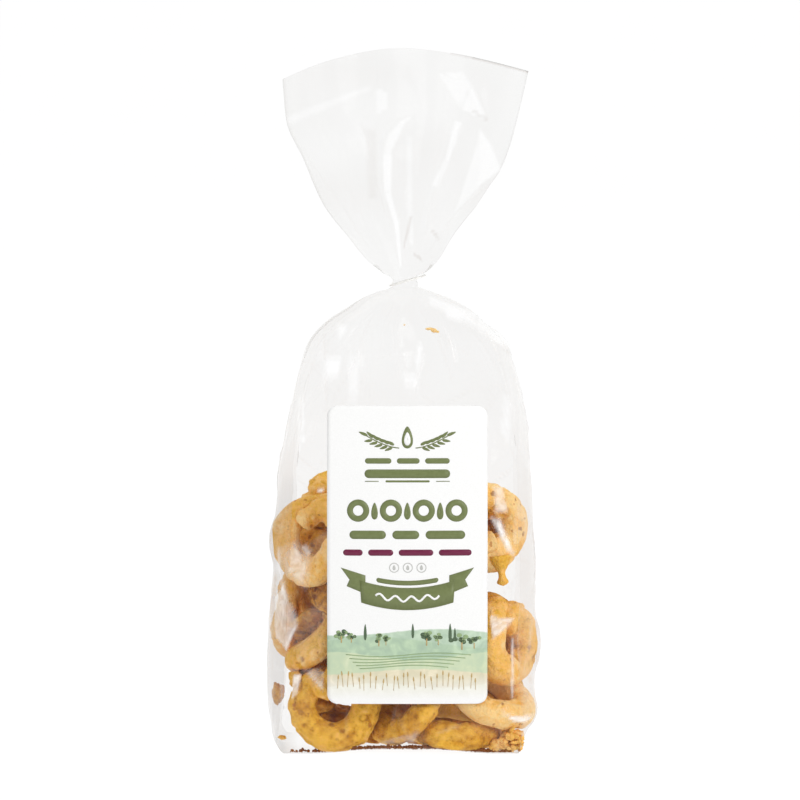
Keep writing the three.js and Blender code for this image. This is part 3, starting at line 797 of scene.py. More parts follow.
# Facets above the biscuits where light and shade are painted into the film's tint: bright ones, cleared of
# # tint as painted highlights, and grey slivers, painted shade where the film stands edge on.
PAINTED_HIGHLIGHT_FACETS = [
    ([(15, 288.5), (25.4, 289.5), (29.7, 284), (24.5, 273.5), (21.5, 278)], 0.6, 0.8),
    ([(29.7, 284), (36.6, 268), (30.5, 270.5), (24.5, 273.5)], 0.75, 0.8),
    ([(32.3, 266), (37.4, 259), (42.1, 247.5), (32, 240)], 0.8, 0.8),
    ([(32.3, 262), (34, 241), (21.5, 228)], 0.6, 1.2),
    ([(-11.6, 282.5), (-6.5, 280.5), (-6.5, 273.5), (-11.6, 270.5)], 0.6, 0.7),
    ([(3.9, 273.5), (-6.9, 262), (-8.6, 254), (-4.5, 254), (-1.5, 262)], 0.7, 0.8),
    ([(-8.6, 254), (-8.2, 237.6), (-5, 237.6), (-4.5, 254)], 0.85, 0.8),
    ([(-8.2, 237.6), (-3.9, 224), (-1.6, 224), (-5, 237.6)], 0.9, 0.7),
    ([(-3.9, 224), (-1.7, 206), (-0.4, 206), (-1.6, 224)], 0.9, 0.5),
    ([(1, 262), (4, 262), (4.6, 215), (2, 215)], 0.35, 1),
    ([(22, 268.5), (25.4, 267.5), (19.8, 250.5), (17.8, 251)], 0.8, 0.7),
    ([(17.6, 251.5), (19.8, 250.5), (15, 239.5), (12, 240.5)], 0.6, 0.7),
    ([(-50, 265.5), (-50, 270.5), (-14, 284), (-14, 281)], 0.45, 1.6),
    ([(17.6, 189), (26.7, 187), (25, 182), (18.5, 184)], 1.0, 0.7),
    ([(-29.2, 181.5), (-23.2, 180), (-27, 174.6)], 1.0, 0.7),
    ([(-34.2, 167.5), (-26.5, 166.8), (-27.5, 158.6), (-33.6, 157.8)], 1.0, 0.9),
    ([(-24, 166.5), (-18.6, 166.5), (-19, 149), (-23.6, 149)], 0.6, 1.2),
    ([(0.2, 159.5), (5.6, 159.5), (5.4, 154.6), (0.6, 155)], 1.0, 0.8),
    ([(6.5, 173), (8.6, 172.5), (7, 162), (5, 162.5)], 1.0, 0.6),
    ([(11, 193.5), (32, 186), (31, 180), (11, 189.5)], 0.75, 1),
    ([(32, 186), (52, 170.5), (51, 165), (31, 180)], 0.75, 1),
    ([(-45, 151), (-43.6, 151), (-43.4, 128), (-44.8, 128)], 1.0, 0.4),
    ([(44, 150), (47, 149), (45, 131), (42.6, 132)], 0.7, 0.8),
]
PAINTED_SHADE_SLIVERS = [
    ([(29, 272), (36.8, 267.4), (36, 269.8), (30, 273.4)], 0.8, 0.4),
    ([(11.4, 221.6), (16, 216), (15, 219.6), (12.4, 222.4)], 0.8, 0.4),
    ([(3.8, 211.2), (8.4, 207.8), (7.8, 210.4), (4.6, 212)], 0.9, 0.4),
    ([(2.8, 228), (4.4, 228), (0.8, 214.2), (-0.2, 213.4)], 0.8, 0.4),
    ([(-17, 265.5), (-10.8, 265.5), (-10.4, 234.5), (-15.2, 234.5)], 0.3, 2),
    ([(41, 174), (45.8, 169.2), (45, 168), (40.4, 172.6)], 0.8, 0.4),
    ([(-33.9, 178.4), (-33.1, 178.4), (-31.9, 149), (-32.8, 149)], 0.6, 0.3),
]


# Creases from handling: how many, between which heights, how far they lean (degrees), the longest and
# the highest. Round the filled part, on the shoulders, and in the fan.
HANDLING = ((110, 4, 150, 45, 34, 0.6), (50, 135, 184, 26, 40, 0.8), (30, 222, 296, 22, 60, 0.5))
HANDLING_SEED = 31


def handling_creases(rng, count, low, high, lean, longest, height):
    """Creases of a bag that has been filled, gathered and handled, at random places of its girth."""
    creases = []
    for _ in range(count):
        at, z, angle = rng.uniform(0, GIRTH), rng.uniform(low, high), math.radians(rng.normal(0, lean))
        length = rng.uniform(0.3, 1) * longest
        du, dz = 0.5 * length * math.sin(angle), 0.5 * length * math.cos(angle)
        creases.append((at - du, z - dz, at + du, z + dz, rng.uniform(1.5, 4),
                        rng.choice((-1, 1)) * rng.uniform(0.3, 1) * height))
    return creases


def crumpled(grid, normals, girth, z, front, glare):
    """The film pressed out, drawn tight, creased and crumpled, and how near each point is to a fold's
    edge."""
    x, y, height = np.moveaxis(grid, -1, 0)
    # The label keeps the film under it flat, and the foot and the neck are held.
    free = np.where(y < -8, smoothstep(off_label(x, height), 0.5, 5), 1) * smoothstep(z, 0.5, 7)
    held = np.clip(np.abs(z - NECK_Z) / 22, 0, 1) ** 1.5
    loose = free * (1 - smoothstep(z, 128, 150))
    reach = np.where(loose > 0.01, pressed_out(grid, normals), NO_REACH)
    reach = np.clip(reach, NO_REACH, 2.4) * free + NO_REACH * (1 - free)
    out = drawn_tight(reach, -SLACK * loose)
    rng = np.random.default_rng(HANDLING_SEED)
    random_creases = [crease for kind in HANDLING for crease in handling_creases(rng, *kind)]
    folds, edge = ridges(girth + 0 * z, z + 0 * girth, random_creases)
    placed_folds, placed_edge = ridges(x, height, FRONT_FOLDS)
    folds = (folds + (placed_folds + 0.5 * glare) * front) * held * free
    # Soft dents all over, and larger ones above the filled part.
    crumple = 0.35 * lumps(grid, 14, 7) + 0.16 * lumps(grid, 6, 8)
    crumple = crumple + 0.7 * smoothstep(z, 140, 160) * lumps(grid, 19, 9)
    out = np.where(free > 0.01, np.maximum(out + folds + crumple * free * held, reach), out)
    edge = np.maximum(0.6 * edge, placed_edge * front) * free * held * np.where(z > NECK_Z, 0.4, 1)
    return grid + np.clip(out, -4, 4)[..., None] * normals, edge


def pleat_walls(girth):
    """Which places round the tube are on the left pleat, and which on either."""
    left_pleat = (girth < PLEAT / 2) | (girth > GIRTH - PLEAT / 2)
    right_pleat = np.abs(girth - PLEAT - PANEL) < PLEAT / 2
    return left_pleat, left_pleat | right_pleat


def folded_inside(girth, z):
    """How far each place is a wall inside the fan: the pleats, and the panels near their creases."""
    from_crease = PLEAT / 2 - np.abs((girth + PLEAT / 2) % (GIRTH / 2) - PLEAT / 2)
    by_crease = 1 - smoothstep(-from_crease, 0.5, 4)
    inner = np.where(pleat_walls(girth)[1], 1.17, 0.45 + 0.75 * by_crease)
    return inner * smoothstep(z, NECK_Z + 2, NECK_Z + 8)


# How much a wall dims what is behind it: a panel, a pleat, and the painted shade and reflections of the
# # biscuits added round the filled part at the back, on the pleats and on the left one, and above it all
# round and in uneven patches.
PANEL_SHADE, PLEAT_SHADE = 0.4, 0.45
BACK_PAINTED_SHADE, PLEATS_PAINTED_SHADE, LEFT_PAINTED_SHADE = 0.3, 0.5, 0.3
UPPER_PAINTED_SHADE, UPPER_PAINTED_PATCHES = 0.09, 0.12


def film_tint_and_painted_shade(grid, x, height, girth, z, front):
    """How much each wall dims what is behind it, with painted shade and reflections of the biscuits: most
    the pleats and the back of the filled part, least the painted highlight facets."""
    left_pleat, pleats = pleat_walls(girth)
    panels = PANEL_SHADE + BACK_PAINTED_SHADE * (1 - front) * (1 - smoothstep(z, 120, 160))
    pleated = PLEAT_SHADE + (PLEATS_PAINTED_SHADE + LEFT_PAINTED_SHADE * left_pleat) * (1 - smoothstep(z, 100, 150))
    shade = np.where(pleats, pleated, panels)
    shade = shade + UPPER_PAINTED_SHADE * smoothstep(z, 118, 150) * (1 - smoothstep(z, 192, 204))
    shade = shade + UPPER_PAINTED_PATCHES * lumps(grid, 17, 10) * smoothstep(z, 120, 150)
    shade = shade * (1 - facets(x, height, PAINTED_HIGHLIGHT_FACETS))
    shade = shade + np.where(front, 0.8, 0.3) * facets(x, height, PAINTED_SHADE_SLIVERS)
    # The fold at the foot and the right half of the mouth's cut edge are painted as thin grey lines of shade.
    shade = shade + 0.5 * front * (1 - smoothstep(z, 1.5, 5))
    shade = shade + 1.2 * front * smoothstep(x, 0, 30) * smoothstep(z, MOUTH_Z - 0.7, MOUTH_Z)
    shade = np.where(pleats & (z > NECK_Z + 8), 0, shade)
    return np.clip(shade, 0, 1.6)


def make_film():
    """The film as one sheet, with the values that its material reads."""
    z = film_row_heights()[:, None]
    girth = girth_places()[None]
    plain = film_form(girth + 0 * z, z + 0 * girth)
    x, y, height = np.moveaxis(plain, -1, 0)
    front = (y < 1) * 1.0
    glare = facets(x, height, PAINTED_GLARE_FACETS) * front
    grid, edge = crumpled(plain, grid_normals(plain), girth, z, front, glare)
    shade = film_tint_and_painted_shade(grid, x, height, girth, z, front)
    # The foot is folded in flat under the bag.
    inwards = np.linspace(0.05, 1, FOOT_ROWS + 1)[:-1, None, None]
    flat = grid[0][None] * inwards
    flat[..., 2] = 0.12 * (1 - inwards[..., 0])
    grid = np.concatenate([flat, grid])
    grid[..., 2] += foot_rise(*np.moveaxis(grid, -1, 0))
    columns = girth.shape[1]
    faces = grid_faces(*grid.shape[:2]).tolist()
    faces.append(list(range(columns))[::-1])
    piece = add_piece("film", grid, faces)
    below = np.zeros((FOOT_ROWS, columns))
    add_values(piece, "glare", np.concatenate([below, glare]))
    add_values(piece, "edge", np.concatenate([below, edge]))
    add_values(piece, "inner", np.concatenate([below + 1, folded_inside(girth, z)]))
    add_values(piece, "shade", np.concatenate([below, shade]))
    return piece


def clear_film():
    """Clear crisp film: see-through face on, mirror-like at a glance, with painted milky glare where it is
    creased and in the glare facets. The walls that lie inside, at the foot and in the folded pleats, show
    much less."""
    finish = Finish("clear_film")
    crinkle = finish.bump(finish.noise(7, 4, Distortion=0.4), 0.35, 0.5)
    facing = finish.add("ShaderNodeLayerWeight", {"Blend": 0.5, "Normal": crinkle}, "Facing")
    inner = finish.value("inner")
    edge = finish.value("edge")
    # The share that mirrors: little face on, much edge on, and almost none where a wall lies inside.
    sheen = finish.math("MULTIPLY_ADD", finish.math("POWER", facing, 5.0), 0.42, 0.01)
    sheen = finish.math("MULTIPLY", sheen, finish.math("MULTIPLY_ADD", inner, -0.8, 1.0))
    # The share that is milky: scuffed in places, a painted highlight at the folds' edges, and painted glare
    #     # in streaks over the glare facets.
    scuff = finish.ramp(finish.noise(26, 3, Distortion=1.5), (0.5, 0.0), (0.74, 0.035))
    haze_and_glare = finish.math("MULTIPLY_ADD", finish.math("POWER", facing, 3.0), 0.24, scuff)
    haze_and_glare = finish.math("ADD", haze_and_glare, finish.math("MULTIPLY_ADD", edge, 0.22, 0.002))
    haze_and_glare = finish.math("MULTIPLY", haze_and_glare, finish.math("MULTIPLY_ADD", inner, -0.85, 1.0))
    glare_streaks = finish.ramp(finish.noise(9, 3, Distortion=2.5), (0.3, 0.5), (0.65, 1.1))
    haze_and_glare = finish.math("MULTIPLY_ADD", finish.value("glare"), glare_streaks, haze_and_glare)
    cover = finish.math("MINIMUM", finish.math("ADD", haze_and_glare, sheen), 0.9)
    finish.set(finish.shader, {
        "Base Color": srgb(250, 250, 249), "Metallic": finish.math("DIVIDE", sheen, cover), "Roughness": 0.1,
        "Normal": crinkle,
    })
    # The rest is clear and dims what is behind it by the wall's shade, in which shade and reflections of the
    #     # biscuits are painted, with a painted dark line along the folds' edges.
    shade = finish.math("MULTIPLY_ADD", finish.value("shade"), 0.5, finish.math("MULTIPLY", edge, 0.05))
    tint = finish.ramp(
        shade, (0.0, 1.0), (0.2, (0.958, 0.957, 0.954, 1)), (0.35, (0.925, 0.918, 0.911, 1)),
        (0.5, (0.9, 0.884, 0.872, 1)), (0.8, 0.76),
    )
    clear = finish.add("ShaderNodeBsdfTransparent", {"Color": tint})
    mixed = finish.add("ShaderNodeMixShader", {0: cover, 1: clear, 2: finish.shader.outputs[0]})
    finish.tree.links.new(mixed, finish.tree.nodes["Material Output"].inputs["Surface"])
    return finish.material


film = make_film()
film.data.materials.append(clear_film())
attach(film, "root")
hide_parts("bag")


# ---- The label ---------------------------------------------------------------------------------
# White coated paper with round corners, printed and stuck flat to the front. The print here is a plain
# design of its own: a sprig, rings and almonds, bars, a ribbon and low hills with trees.

# How far the paper stands off the film, and its thickness.
PAPER_GAP, PAPER_THICK = 0.35, 0.3
PAPER_ROWS, PAPER_COLUMNS = 60, 41


def on_label(across, up, out=0.0):
    """A point of the label from its middle: across, up and how far it stands out of the paper's face."""
    x, z = np.asarray(across, float) + LABEL_X, np.asarray(up, float) + LABEL_Z
    return np.stack([x + 0 * z, -front_depth(x, z) - PAPER_GAP - PAPER_THICK - out, z + 0 * x], axis=-1)


def thicken(piece, thickness_mm):
    """Give a sheet its thickness, inwards from its face."""
    solid = piece.modifiers.new("thickness", "SOLIDIFY")
    solid.thickness, solid.offset = thickness_mm * MM, -1


def make_paper():
    """The paper in rows, shorter at its top and bottom, where the corners are round."""
    corner = LABEL_CORNER
    turn = np.linspace(0, math.pi / 2, 9)
    ends = LABEL_HIGH / 2 - corner * (1 - np.sin(turn))
    up = np.concatenate([-ends[::-1], np.linspace(-ends[0], ends[0], PAPER_ROWS)[1:-1], ends])
    inset = corner - np.sqrt(np.maximum(corner**2 - np.maximum(np.abs(up) - ends[0], 0) ** 2, 0))
    across = np.linspace(-1, 1, PAPER_COLUMNS)[None] * (LABEL_WIDE / 2 - inset[:, None])
    faces = grid_faces(len(up), PAPER_COLUMNS, wrap_columns=False)
    paper = add_piece("label_paper", on_label(across, up[:, None]), faces)
    thicken(paper, PAPER_THICK)
    return paper


# The washed hills, back to front: the top at the label's middle, the swing and pace of its line, where
# the line starts, and two greens.
HILLS = [
    (-32.2, 1.5, 0.077, 0.6, (150, 180, 150), (205, 222, 200)),
    (-36.6, 2.5, 0.062, 2.4, (140, 172, 140), (196, 216, 186)),
    (-42.3, 1.7, 0.092, 4.4, (176, 198, 158), (214, 222, 190)),
    (-49.1, 1.3, 0.072, 1.2, (204, 196, 158), (236, 226, 200)),
    (-54.8, 1.0, 0.113, 3.0, (214, 210, 176), (240, 238, 220)),
]


def coated_paper():
    """White coated paper with the hills printed on its lower part, in thin washes that fade out below."""
    finish = Finish("coated_paper")
    split = finish.tree.nodes.new("ShaderNodeSeparateXYZ")
    finish.set(split, {0: finish.place})
    x = finish.math("MULTIPLY_ADD", split.outputs["X"], 1 / MM, -LABEL_X)
    z = finish.math("MULTIPLY_ADD", split.outputs["Z"], 1 / MM, -LABEL_Z)
    grain = finish.noise(0.5, 2)
    white = finish.ramp(grain, (0.3, srgb(239, 239, 238)), (0.7, srgb(244, 244, 243)))
    print_colour = white
    wash = finish.noise(6, 4, Distortion=1.2)
    for top, swing, pace, shift, deep, pale in HILLS:
        angle = finish.math("MULTIPLY_ADD", x, pace, shift)
        wave = finish.math("MULTIPLY", finish.math("SINE", angle), swing)
        ripple = finish.math("MULTIPLY_ADD", finish.noise(3, 2), 0.8, -0.4 + top)
        line = finish.math("ADD", wave, ripple)
        below = finish.math("SUBTRACT", line, z)
        inside = finish.ramp(below, (0.0, 0.0), (0.5, 1.0))
        tint = finish.mix(finish.ramp(wash, (0.3, 0.0), (0.72, 1.0)), srgb(*deep), srgb(*pale))
        print_colour = finish.mix(inside, print_colour, tint)
    # The washes fade out over the lowest 20 mm.
    fade = finish.ramp(finish.math("MULTIPLY_ADD", z, 1 / 20, LABEL_HIGH / 40), (0.08, 0.0), (0.62, 1.0))
    fade = finish.math("MULTIPLY", fade, finish.ramp(wash, (0.1, 0.7), (0.6, 1.0)))
    colour = finish.mix(fade, white, print_colour)
    finish.set(finish.shader, {
        "Base Color": colour, "Roughness": 0.42, "IOR": 1.45,
        "Normal": finish.bump(grain, 0.02, 0.25),
    })
    return finish.material


paper = make_paper()
paper.data.materials.append(coated_paper())
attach(paper, "root")
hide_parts("label")


# The print is drawn 131 mm high, across and up from the label's middle. Every shape is a thin patch of
# ink, and those that lie on others are raised.
PRINT_SCALE = LABEL_HIGH / 131
INK_OUT, INK_THICK = 0.01, 0.03
ON_HILLS, ON_INK, ON_RIBBON = 0.01, 0.03, 0.06
OLIVE, PLUM, GREY, WHITE, LEAF, DARK_LEAF, STRAW = range(7)
INKS = [
    ("olive_ink", (106, 116, 68)), ("plum_ink", (104, 6, 54)), ("grey_ink", (186, 186, 182)),
    ("white_ink", (241, 241, 240)), ("leaf_ink", (140, 164, 116)), ("dark_leaf_ink", (74, 96, 68)),
    ("straw_ink", (186, 158, 102)),
]


class Print:
    """The patches of ink on the label, gathered into one mesh."""

    def __init__(self):
        self.points, self.faces, self.inks, self.count = [], [], [], 0

    def patch(self, ink, across, up, wrap=False, raised=0.0):
        """A grid of points across and up, filled with ink."""
        across, up = PRINT_SCALE * np.asarray(across), PRINT_SCALE * np.asarray(up)
        grid = on_label(across, up, INK_OUT + INK_THICK + raised)
        faces = grid_faces(*grid.shape[:2], False, wrap) + self.count
        self.points.append(grid.reshape(-1, 3))
        self.faces.extend(faces.tolist())
        self.inks.extend([ink] * len(faces))
        self.count += grid.shape[0] * grid.shape[1]

    def bar(self, ink, left, right, up, height, smile=0.0):
        """A bar with round ends. With a smile its ends are higher than its middle."""
        half = height / 2
        turn = np.linspace(0, math.pi / 2, 6)
        inner = np.linspace(left + half, right - half, max(2, int((right - left) / 2.5)))
        end = half * (1 - np.sin(turn))
        across = np.concatenate([left + end[::-1], inner[1:-1], right - end])
        beyond = np.maximum(0, np.maximum(left + half - across, across - right + half))
        reach = np.sqrt(np.maximum(half**2 - beyond**2, 0.0004))
        v = np.array([-1, 1])[:, None]
        self.patch(ink, across[None] + 0 * v, up + smile * (across[None] / 20) ** 2 + v * reach[None])

    def oval(self, ink, x, up, wide, high, lean=0.0, inner=0.0, point=0.0, raised=0.0):
        """An oval, or a ring of it. point sharpens one end, as on a leaf or an almond."""
        turn = (np.arange(28) * 2 * math.pi / 28)[None]
        r = np.array([1.0, max(inner, 0.02)])[:, None]
        u = r * wide / 2 * np.cos(turn) * (1 - point * 0.5 * (1 + np.sin(turn)))
        v = r * high / 2 * np.sin(turn)
        c, s = math.cos(math.radians(lean)), math.sin(math.radians(lean))
        self.patch(ink, x + u * c - v * s, up + u * s + v * c, wrap=True, raised=raised)

    def line(self, ink, points, width, raised=0.0):
        """A stroke of even width through the points."""
        points = np.array(points, float)
        way = np.gradient(points, axis=0)
        side = np.stack([-way[:, 1], way[:, 0]], axis=1) / np.linalg.norm(way, axis=1, keepdims=True)
        edges = points[None] + 0.5 * width * np.array([1, -1])[:, None, None] * side[None]
        self.patch(ink, edges[..., 0], edges[..., 1], raised=raised)


# Pairs of grains on each ear.
GRAINS = 5


def print_emblem(ink_print):
    """A sprig: an almond between two lying ears of wheat."""
    ink_print.oval(OLIVE, 0, 51.8, 6.4, 9.6, point=0.55)
    ink_print.oval(WHITE, 0, 51.2, 3.6, 5.8, point=0.5, raised=ON_INK)
    for side in (-1, 1):
        t = np.linspace(0, 1, 14)
        stalk = np.stack([side * (3.6 + 14.5 * t), 47.2 + 5.4 * t**1.6], axis=1)
        ink_print.line(OLIVE, stalk, 0.45)
        for i in range(GRAINS):
            x, up = stalk[3 + 2 * i]
            lean = side * -62 + side * 18 * i / GRAINS
            ink_print.oval(OLIVE, x + side * 0.6, up + 1.7, 1.7, 3.9, lean, point=0.5)
            ink_print.oval(OLIVE, x + side * 1.3, up - 1.0, 1.6, 3.6, lean - side * 50, point=0.5)
        ink_print.oval(OLIVE, side * 19.4, 53.4, 1.7, 4.2, side * -68, point=0.5)


def print_rows(ink_print):
    """Rows of bars, a row of rings and almonds as the title, and three small round signs."""
    for left, right in ((-18.6, -7), (-4.6, 5.4), (7.8, 18.6)):
        ink_print.bar(OLIVE, left, right, 41.6, 2.4)
    ink_print.bar(OLIVE, -18.8, 18.8, 36, 3.8)
    ink_print.bar(OLIVE, -9.6, 9.8, 32.7, 0.9)
    for side in (-1, 1):
        ink_print.line(OLIVE, [(side * 12.6, 32.7), (side * 15.6, 32.7), (side * 18.6, 32.7)], 0.35)
    for i in range(4):
        ink_print.oval(OLIVE, -21.6 + 14.4 * i, 19.9, 9.8, 9.8, inner=0.46)
    for i in range(3):
        ink_print.oval(OLIVE, -14.4 + 14.4 * i, 19.7, 3.8, 7.4, point=0.55)
    for left, right in ((-25.4, -9.4), (-6.6, 5.2), (8, 25.4)):
        ink_print.bar(OLIVE, left, right, 9.3, 3.7)
    for left, right in ((-28.2, -19.6), (-17.2, -6.2), (-3.8, 11.4), (13.8, 28.2)):
        ink_print.bar(PLUM, left, right, 1.5, 2.7)
    for x in (-5.8, 0.2, 6.2):
        ink_print.oval(GREY, x, -5.1, 4.4, 4.4, inner=0.82)
        ink_print.oval(GREY, x, -5.1, 1.6, 2.2, point=0.4)


def print_ribbon(ink_print):
    """A ribbon with a smile, its two notched ends folded behind, and a bar above it."""
    half, middle, smile = 20.6, -18.9, 3.3
    across = np.linspace(-half, half, 22)
    edge = np.array([1, -1])[:, None]
    up = middle + smile * (across / half) ** 2
    ink_print.patch(OLIVE, across[None] * (1 + 0.018 * edge), up[None] + 4.9 * edge, raised=ON_INK)
    wave = np.linspace(-14, 14, 40)
    wave_up = middle + smile * (wave / half) ** 2 + 1.2 * np.sin(wave * 0.9)
    ink_print.line(WHITE, np.stack([wave, wave_up], axis=1), 0.9, ON_RIBBON)
    ink_print.bar(OLIVE, -13.6, 13.6, -11.9, 2.1, smile=3.2)
    for side in (-1, 1):
        v = np.linspace(1, -1, 5)[:, None]
        t = np.linspace(0, 1, 6)[None]
        notch = 2.6 * np.clip(1 - np.abs(v), 0, 1)
        tail_across = 18.4 + t * (9.6 - notch) + 1.3 * v * t
        tail_up = -12.6 + 3.4 * t + 4.1 * v - 1.2 * notch * t * 0.4
        ink_print.patch(OLIVE, side * tail_across, tail_up)


# Where the trees stand: across, up and size.
ROUND_TREES = [
    (-29, -35.5, 1.1), (-24.6, -36.2, 0.8), (-12.5, -37.2, 1.0), (-9.4, -37.6, 0.7),
    (8.5, -36.4, 1.2), (13.6, -37, 0.9), (24, -38.2, 1.25), (29.4, -38.4, 1.0),
]
TALL_TREES = [(-18.5, -33.6, 1.0), (2.4, -33, 0.9), (18.8, -33.8, 1.1), (20.9, -34.6, 0.8)]
COUNTRY_SEED = 8


def print_country(ink_print):
    """Trees, rows of crop and stalks of wheat on the washed hills."""
    rng = np.random.default_rng(COUNTRY_SEED)
    for x, up, size in ROUND_TREES:
        ink_print.line(STRAW, [(x, up - 2.6 * size), (x, up - 1.4 * size), (x, up)], 0.45 * size)
        for _ in range(9):
            dx, dz = rng.normal(0, 1.0, 2) * size
            shade = LEAF if rng.random() < 0.45 else DARK_LEAF
            leaf_x, leaf_up = x + 1.2 * dx, up + 1.1 + 0.7 * dz
            ink_print.oval(shade, leaf_x, leaf_up, 1.9 * size, 1.5 * size, raised=ON_HILLS)
    for x, up, size in TALL_TREES:
        ink_print.oval(DARK_LEAF, x, up, 1.7 * size, 7.2 * size, point=0.5)
    for row in range(5):
        t = np.linspace(-27 + 1.5 * row, 28 - 2.5 * row, 20)
        ink_print.line(LEAF, np.stack([t, -43.6 - 1.35 * row + 0.8 * np.sin(t * 0.12 + 0.3 * row)], 1), 0.35)
    for i in range(26):
        x = -31 + 2.45 * i + rng.uniform(-0.6, 0.6)
        foot, high, lean = -58.5 + rng.uniform(-1.2, 1.2), rng.uniform(3.4, 5.6), rng.uniform(-0.6, 0.6)
        ink_print.line(STRAW, [(x, foot), (x + 0.4 * lean, foot + 0.5 * high), (x + lean, foot + high)], 0.22)
        ink_print.oval(STRAW, x + 1.1 * lean, foot + high + 0.6, 0.8, 2.2, -12 * lean, point=0.4)


def printed_ink(name, colour):
    """Ink on coated paper: its colour a little uneven, with the paper's grain."""
    finish = Finish(name)
    pale = tuple(min(255, c + 9) for c in colour)
    finish.set(finish.shader, {
        "Base Color": finish.ramp(finish.noise(1.4, 3), (0.3, srgb(*colour)), (0.75, srgb(*pale))),
        "Roughness": finish.ramp(finish.noise(3, 2), (0.3, 0.36), (0.7, 0.46)),
        "Normal": finish.bump(finish.noise(0.5, 2), 0.02, 0.3),
    })
    return finish.material


def make_print():
    """All patches of ink as one mesh, with a material for each ink."""
    ink_print = Print()
    for part in (print_emblem, print_rows, print_ribbon, print_country):
        part(ink_print)
    piece = add_piece("label_print", np.concatenate(ink_print.points), ink_print.faces)
    for name, colour in INKS:
        piece.data.materials.append(printed_ink(name, colour))
    piece.data.polygons.foreach_set("material_index", ink_print.inks)
    thicken(piece, INK_THICK)
    return piece


label_print = make_print()
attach(label_print, "root")


# ---- The tie -----------------------------------------------------------------------------------
# A thin wire in a cloudy white plastic coat, bent once round the gathered neck, its ends twisted
# together on the right and cut short.

# The middle of its loop, the loop's reach to the side and to the front, the wire's radius, how steeply
# the loop rises to the right, how far the twisted end reaches out and up, and the wire's sides.
TIE_X, TIE_Z = 0.85, 199.7
TIE_REACH_X, TIE_REACH_Y = 6.5, 5.1
TIE_RADIUS, TIE_RISE = 0.36, 0.28
TIE_END_LONG, TIE_END_UP = 2.4, 1.1
TIE_SIDES = 16


def twisted_wire(line, radius, turns):
    """A pair of twisted strands along a line of points: a swept tube with two lobes that wind round it."""
    count = len(line)
    way = np.gradient(line, axis=0)
    way = way / np.linalg.norm(way, axis=1, keepdims=True)
    side = np.cross(way, (0, 0.2, 1))
    side = side / np.linalg.norm(side, axis=1, keepdims=True)
    third = np.cross(way, side)
    phi = (np.arange(TIE_SIDES) * 2 * math.pi / TIE_SIDES)[None]
    wind = (np.linspace(0, turns, count) * 2 * math.pi)[:, None]
    reach = radius * (0.92 + 0.12 * np.abs(np.cos(phi - wind)))
    out, aside = (reach * np.cos(phi))[..., None], (reach * np.sin(phi))[..., None]
    return line[:, None] + out * side[:, None] + aside * third[:, None]


def make_tie():
    """The closed loop round the neck and the twisted end, as one mesh."""
    turn = np.linspace(0, 2 * math.pi, 121)[:-1]
    x = TIE_REACH_X * np.cos(turn)
    loop = np.stack([TIE_X + x, TIE_REACH_Y * np.sin(turn), TIE_Z + TIE_RISE * x], axis=1)
    t = np.linspace(-0.08, 1, 30)
    sway = 0.5 * np.sin(t * 5)
    start = (TIE_X + TIE_REACH_X, 0, TIE_Z + TIE_RISE * TIE_REACH_X)
    end = np.stack([start[0] + TIE_END_LONG * t, -0.6 * t + sway * t, start[2] + TIE_END_UP * t], axis=1)
    ring = twisted_wire(loop, TIE_RADIUS, 9)
    tail = twisted_wire(end, TIE_RADIUS * 1.25, 4)
    tail[-1] = tail[-1].mean(0) + 0.5 * (tail[-1] - tail[-1].mean(0))
    faces = grid_faces(len(loop), TIE_SIDES, wrap_rows=True).tolist()
    faces += tube_faces(len(end), TIE_SIDES, len(loop) * TIE_SIDES)
    return add_piece("neck_tie", np.concatenate([ring, tail]), faces)


def coated_wire():
    """Cloudy white plastic, partly clear, a little dull and marked where it was twisted."""
    finish = Finish("coated_wire")
    wear = finish.noise(1.2, 3)
    finish.set(finish.shader, {
        "Base Color": finish.ramp(wear, (0.3, srgb(236, 235, 231)), (0.6, srgb(250, 250, 248))),
        "Roughness": finish.ramp(wear, (0.3, 0.5), (0.7, 0.3)), "IOR": 1.4, "Alpha": 0.6,
        "Normal": finish.bump(finish.noise(0.6, 2), 0.05, 0.4),
    })
    return finish.material


tie = make_tie()
tie.data.materials.append(coated_wire())
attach(tie, "root")
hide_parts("tie")


# ---- The crumbs --------------------------------------------------------------------------------
# Bits broken off in the bag: a heap in the right front corner, a line along the front of the foot, a
# chunk low on the left, and a crumb caught between the folds below the neck.

CRUMB_SEED = 12
# The lowest that anything reaches in the bag.
FOOT_CLEAR = 0.25
# How many bits make the heap, how many of them are fine, and how many lie along the foot and the side.
HEAP_BITS, HEAP_FINE, FOOT_BITS, SIDE_BITS = 135, 85, 560, 8
# How brown the bits are; the line along the foot is painted darker still, crumbs and the shade along the
# bag's base.
HEAP_BROWN, FOOT_BROWN_AND_SHADE, SIDE_BROWN, CHUNK_BROWN, CAUGHT_BROWN = 0.2, 1.35, 0.2, 0.8, -0.3
# Where the heap lies along the front, its height and where it is highest.
HEAP_FROM, HEAP_LONG, HEAP_HIGH, HEAP_TOP = 36.5, 14.5, 8.5, 46.5
CHUNK = ((-53.6, -11, 23.4), (2.9, 4, 5.6))
SINGLE_CRUMB = ((-51.5, -18, 5), 1.7, 0.3)
CAUGHT_CRUMBS = [
    ((11.2, -11.5, 179.8), (1.6, 0.7, 0.6)), ((13.2, -11.5, 179.1), (1.4, 0.8, 0.9)),
    ((14.6, -11.4, 178.6), (0.8, 0.6, 0.5)), ((0.6, -11.8, 181.5), (0.5, 0.4, 0.3)),
]
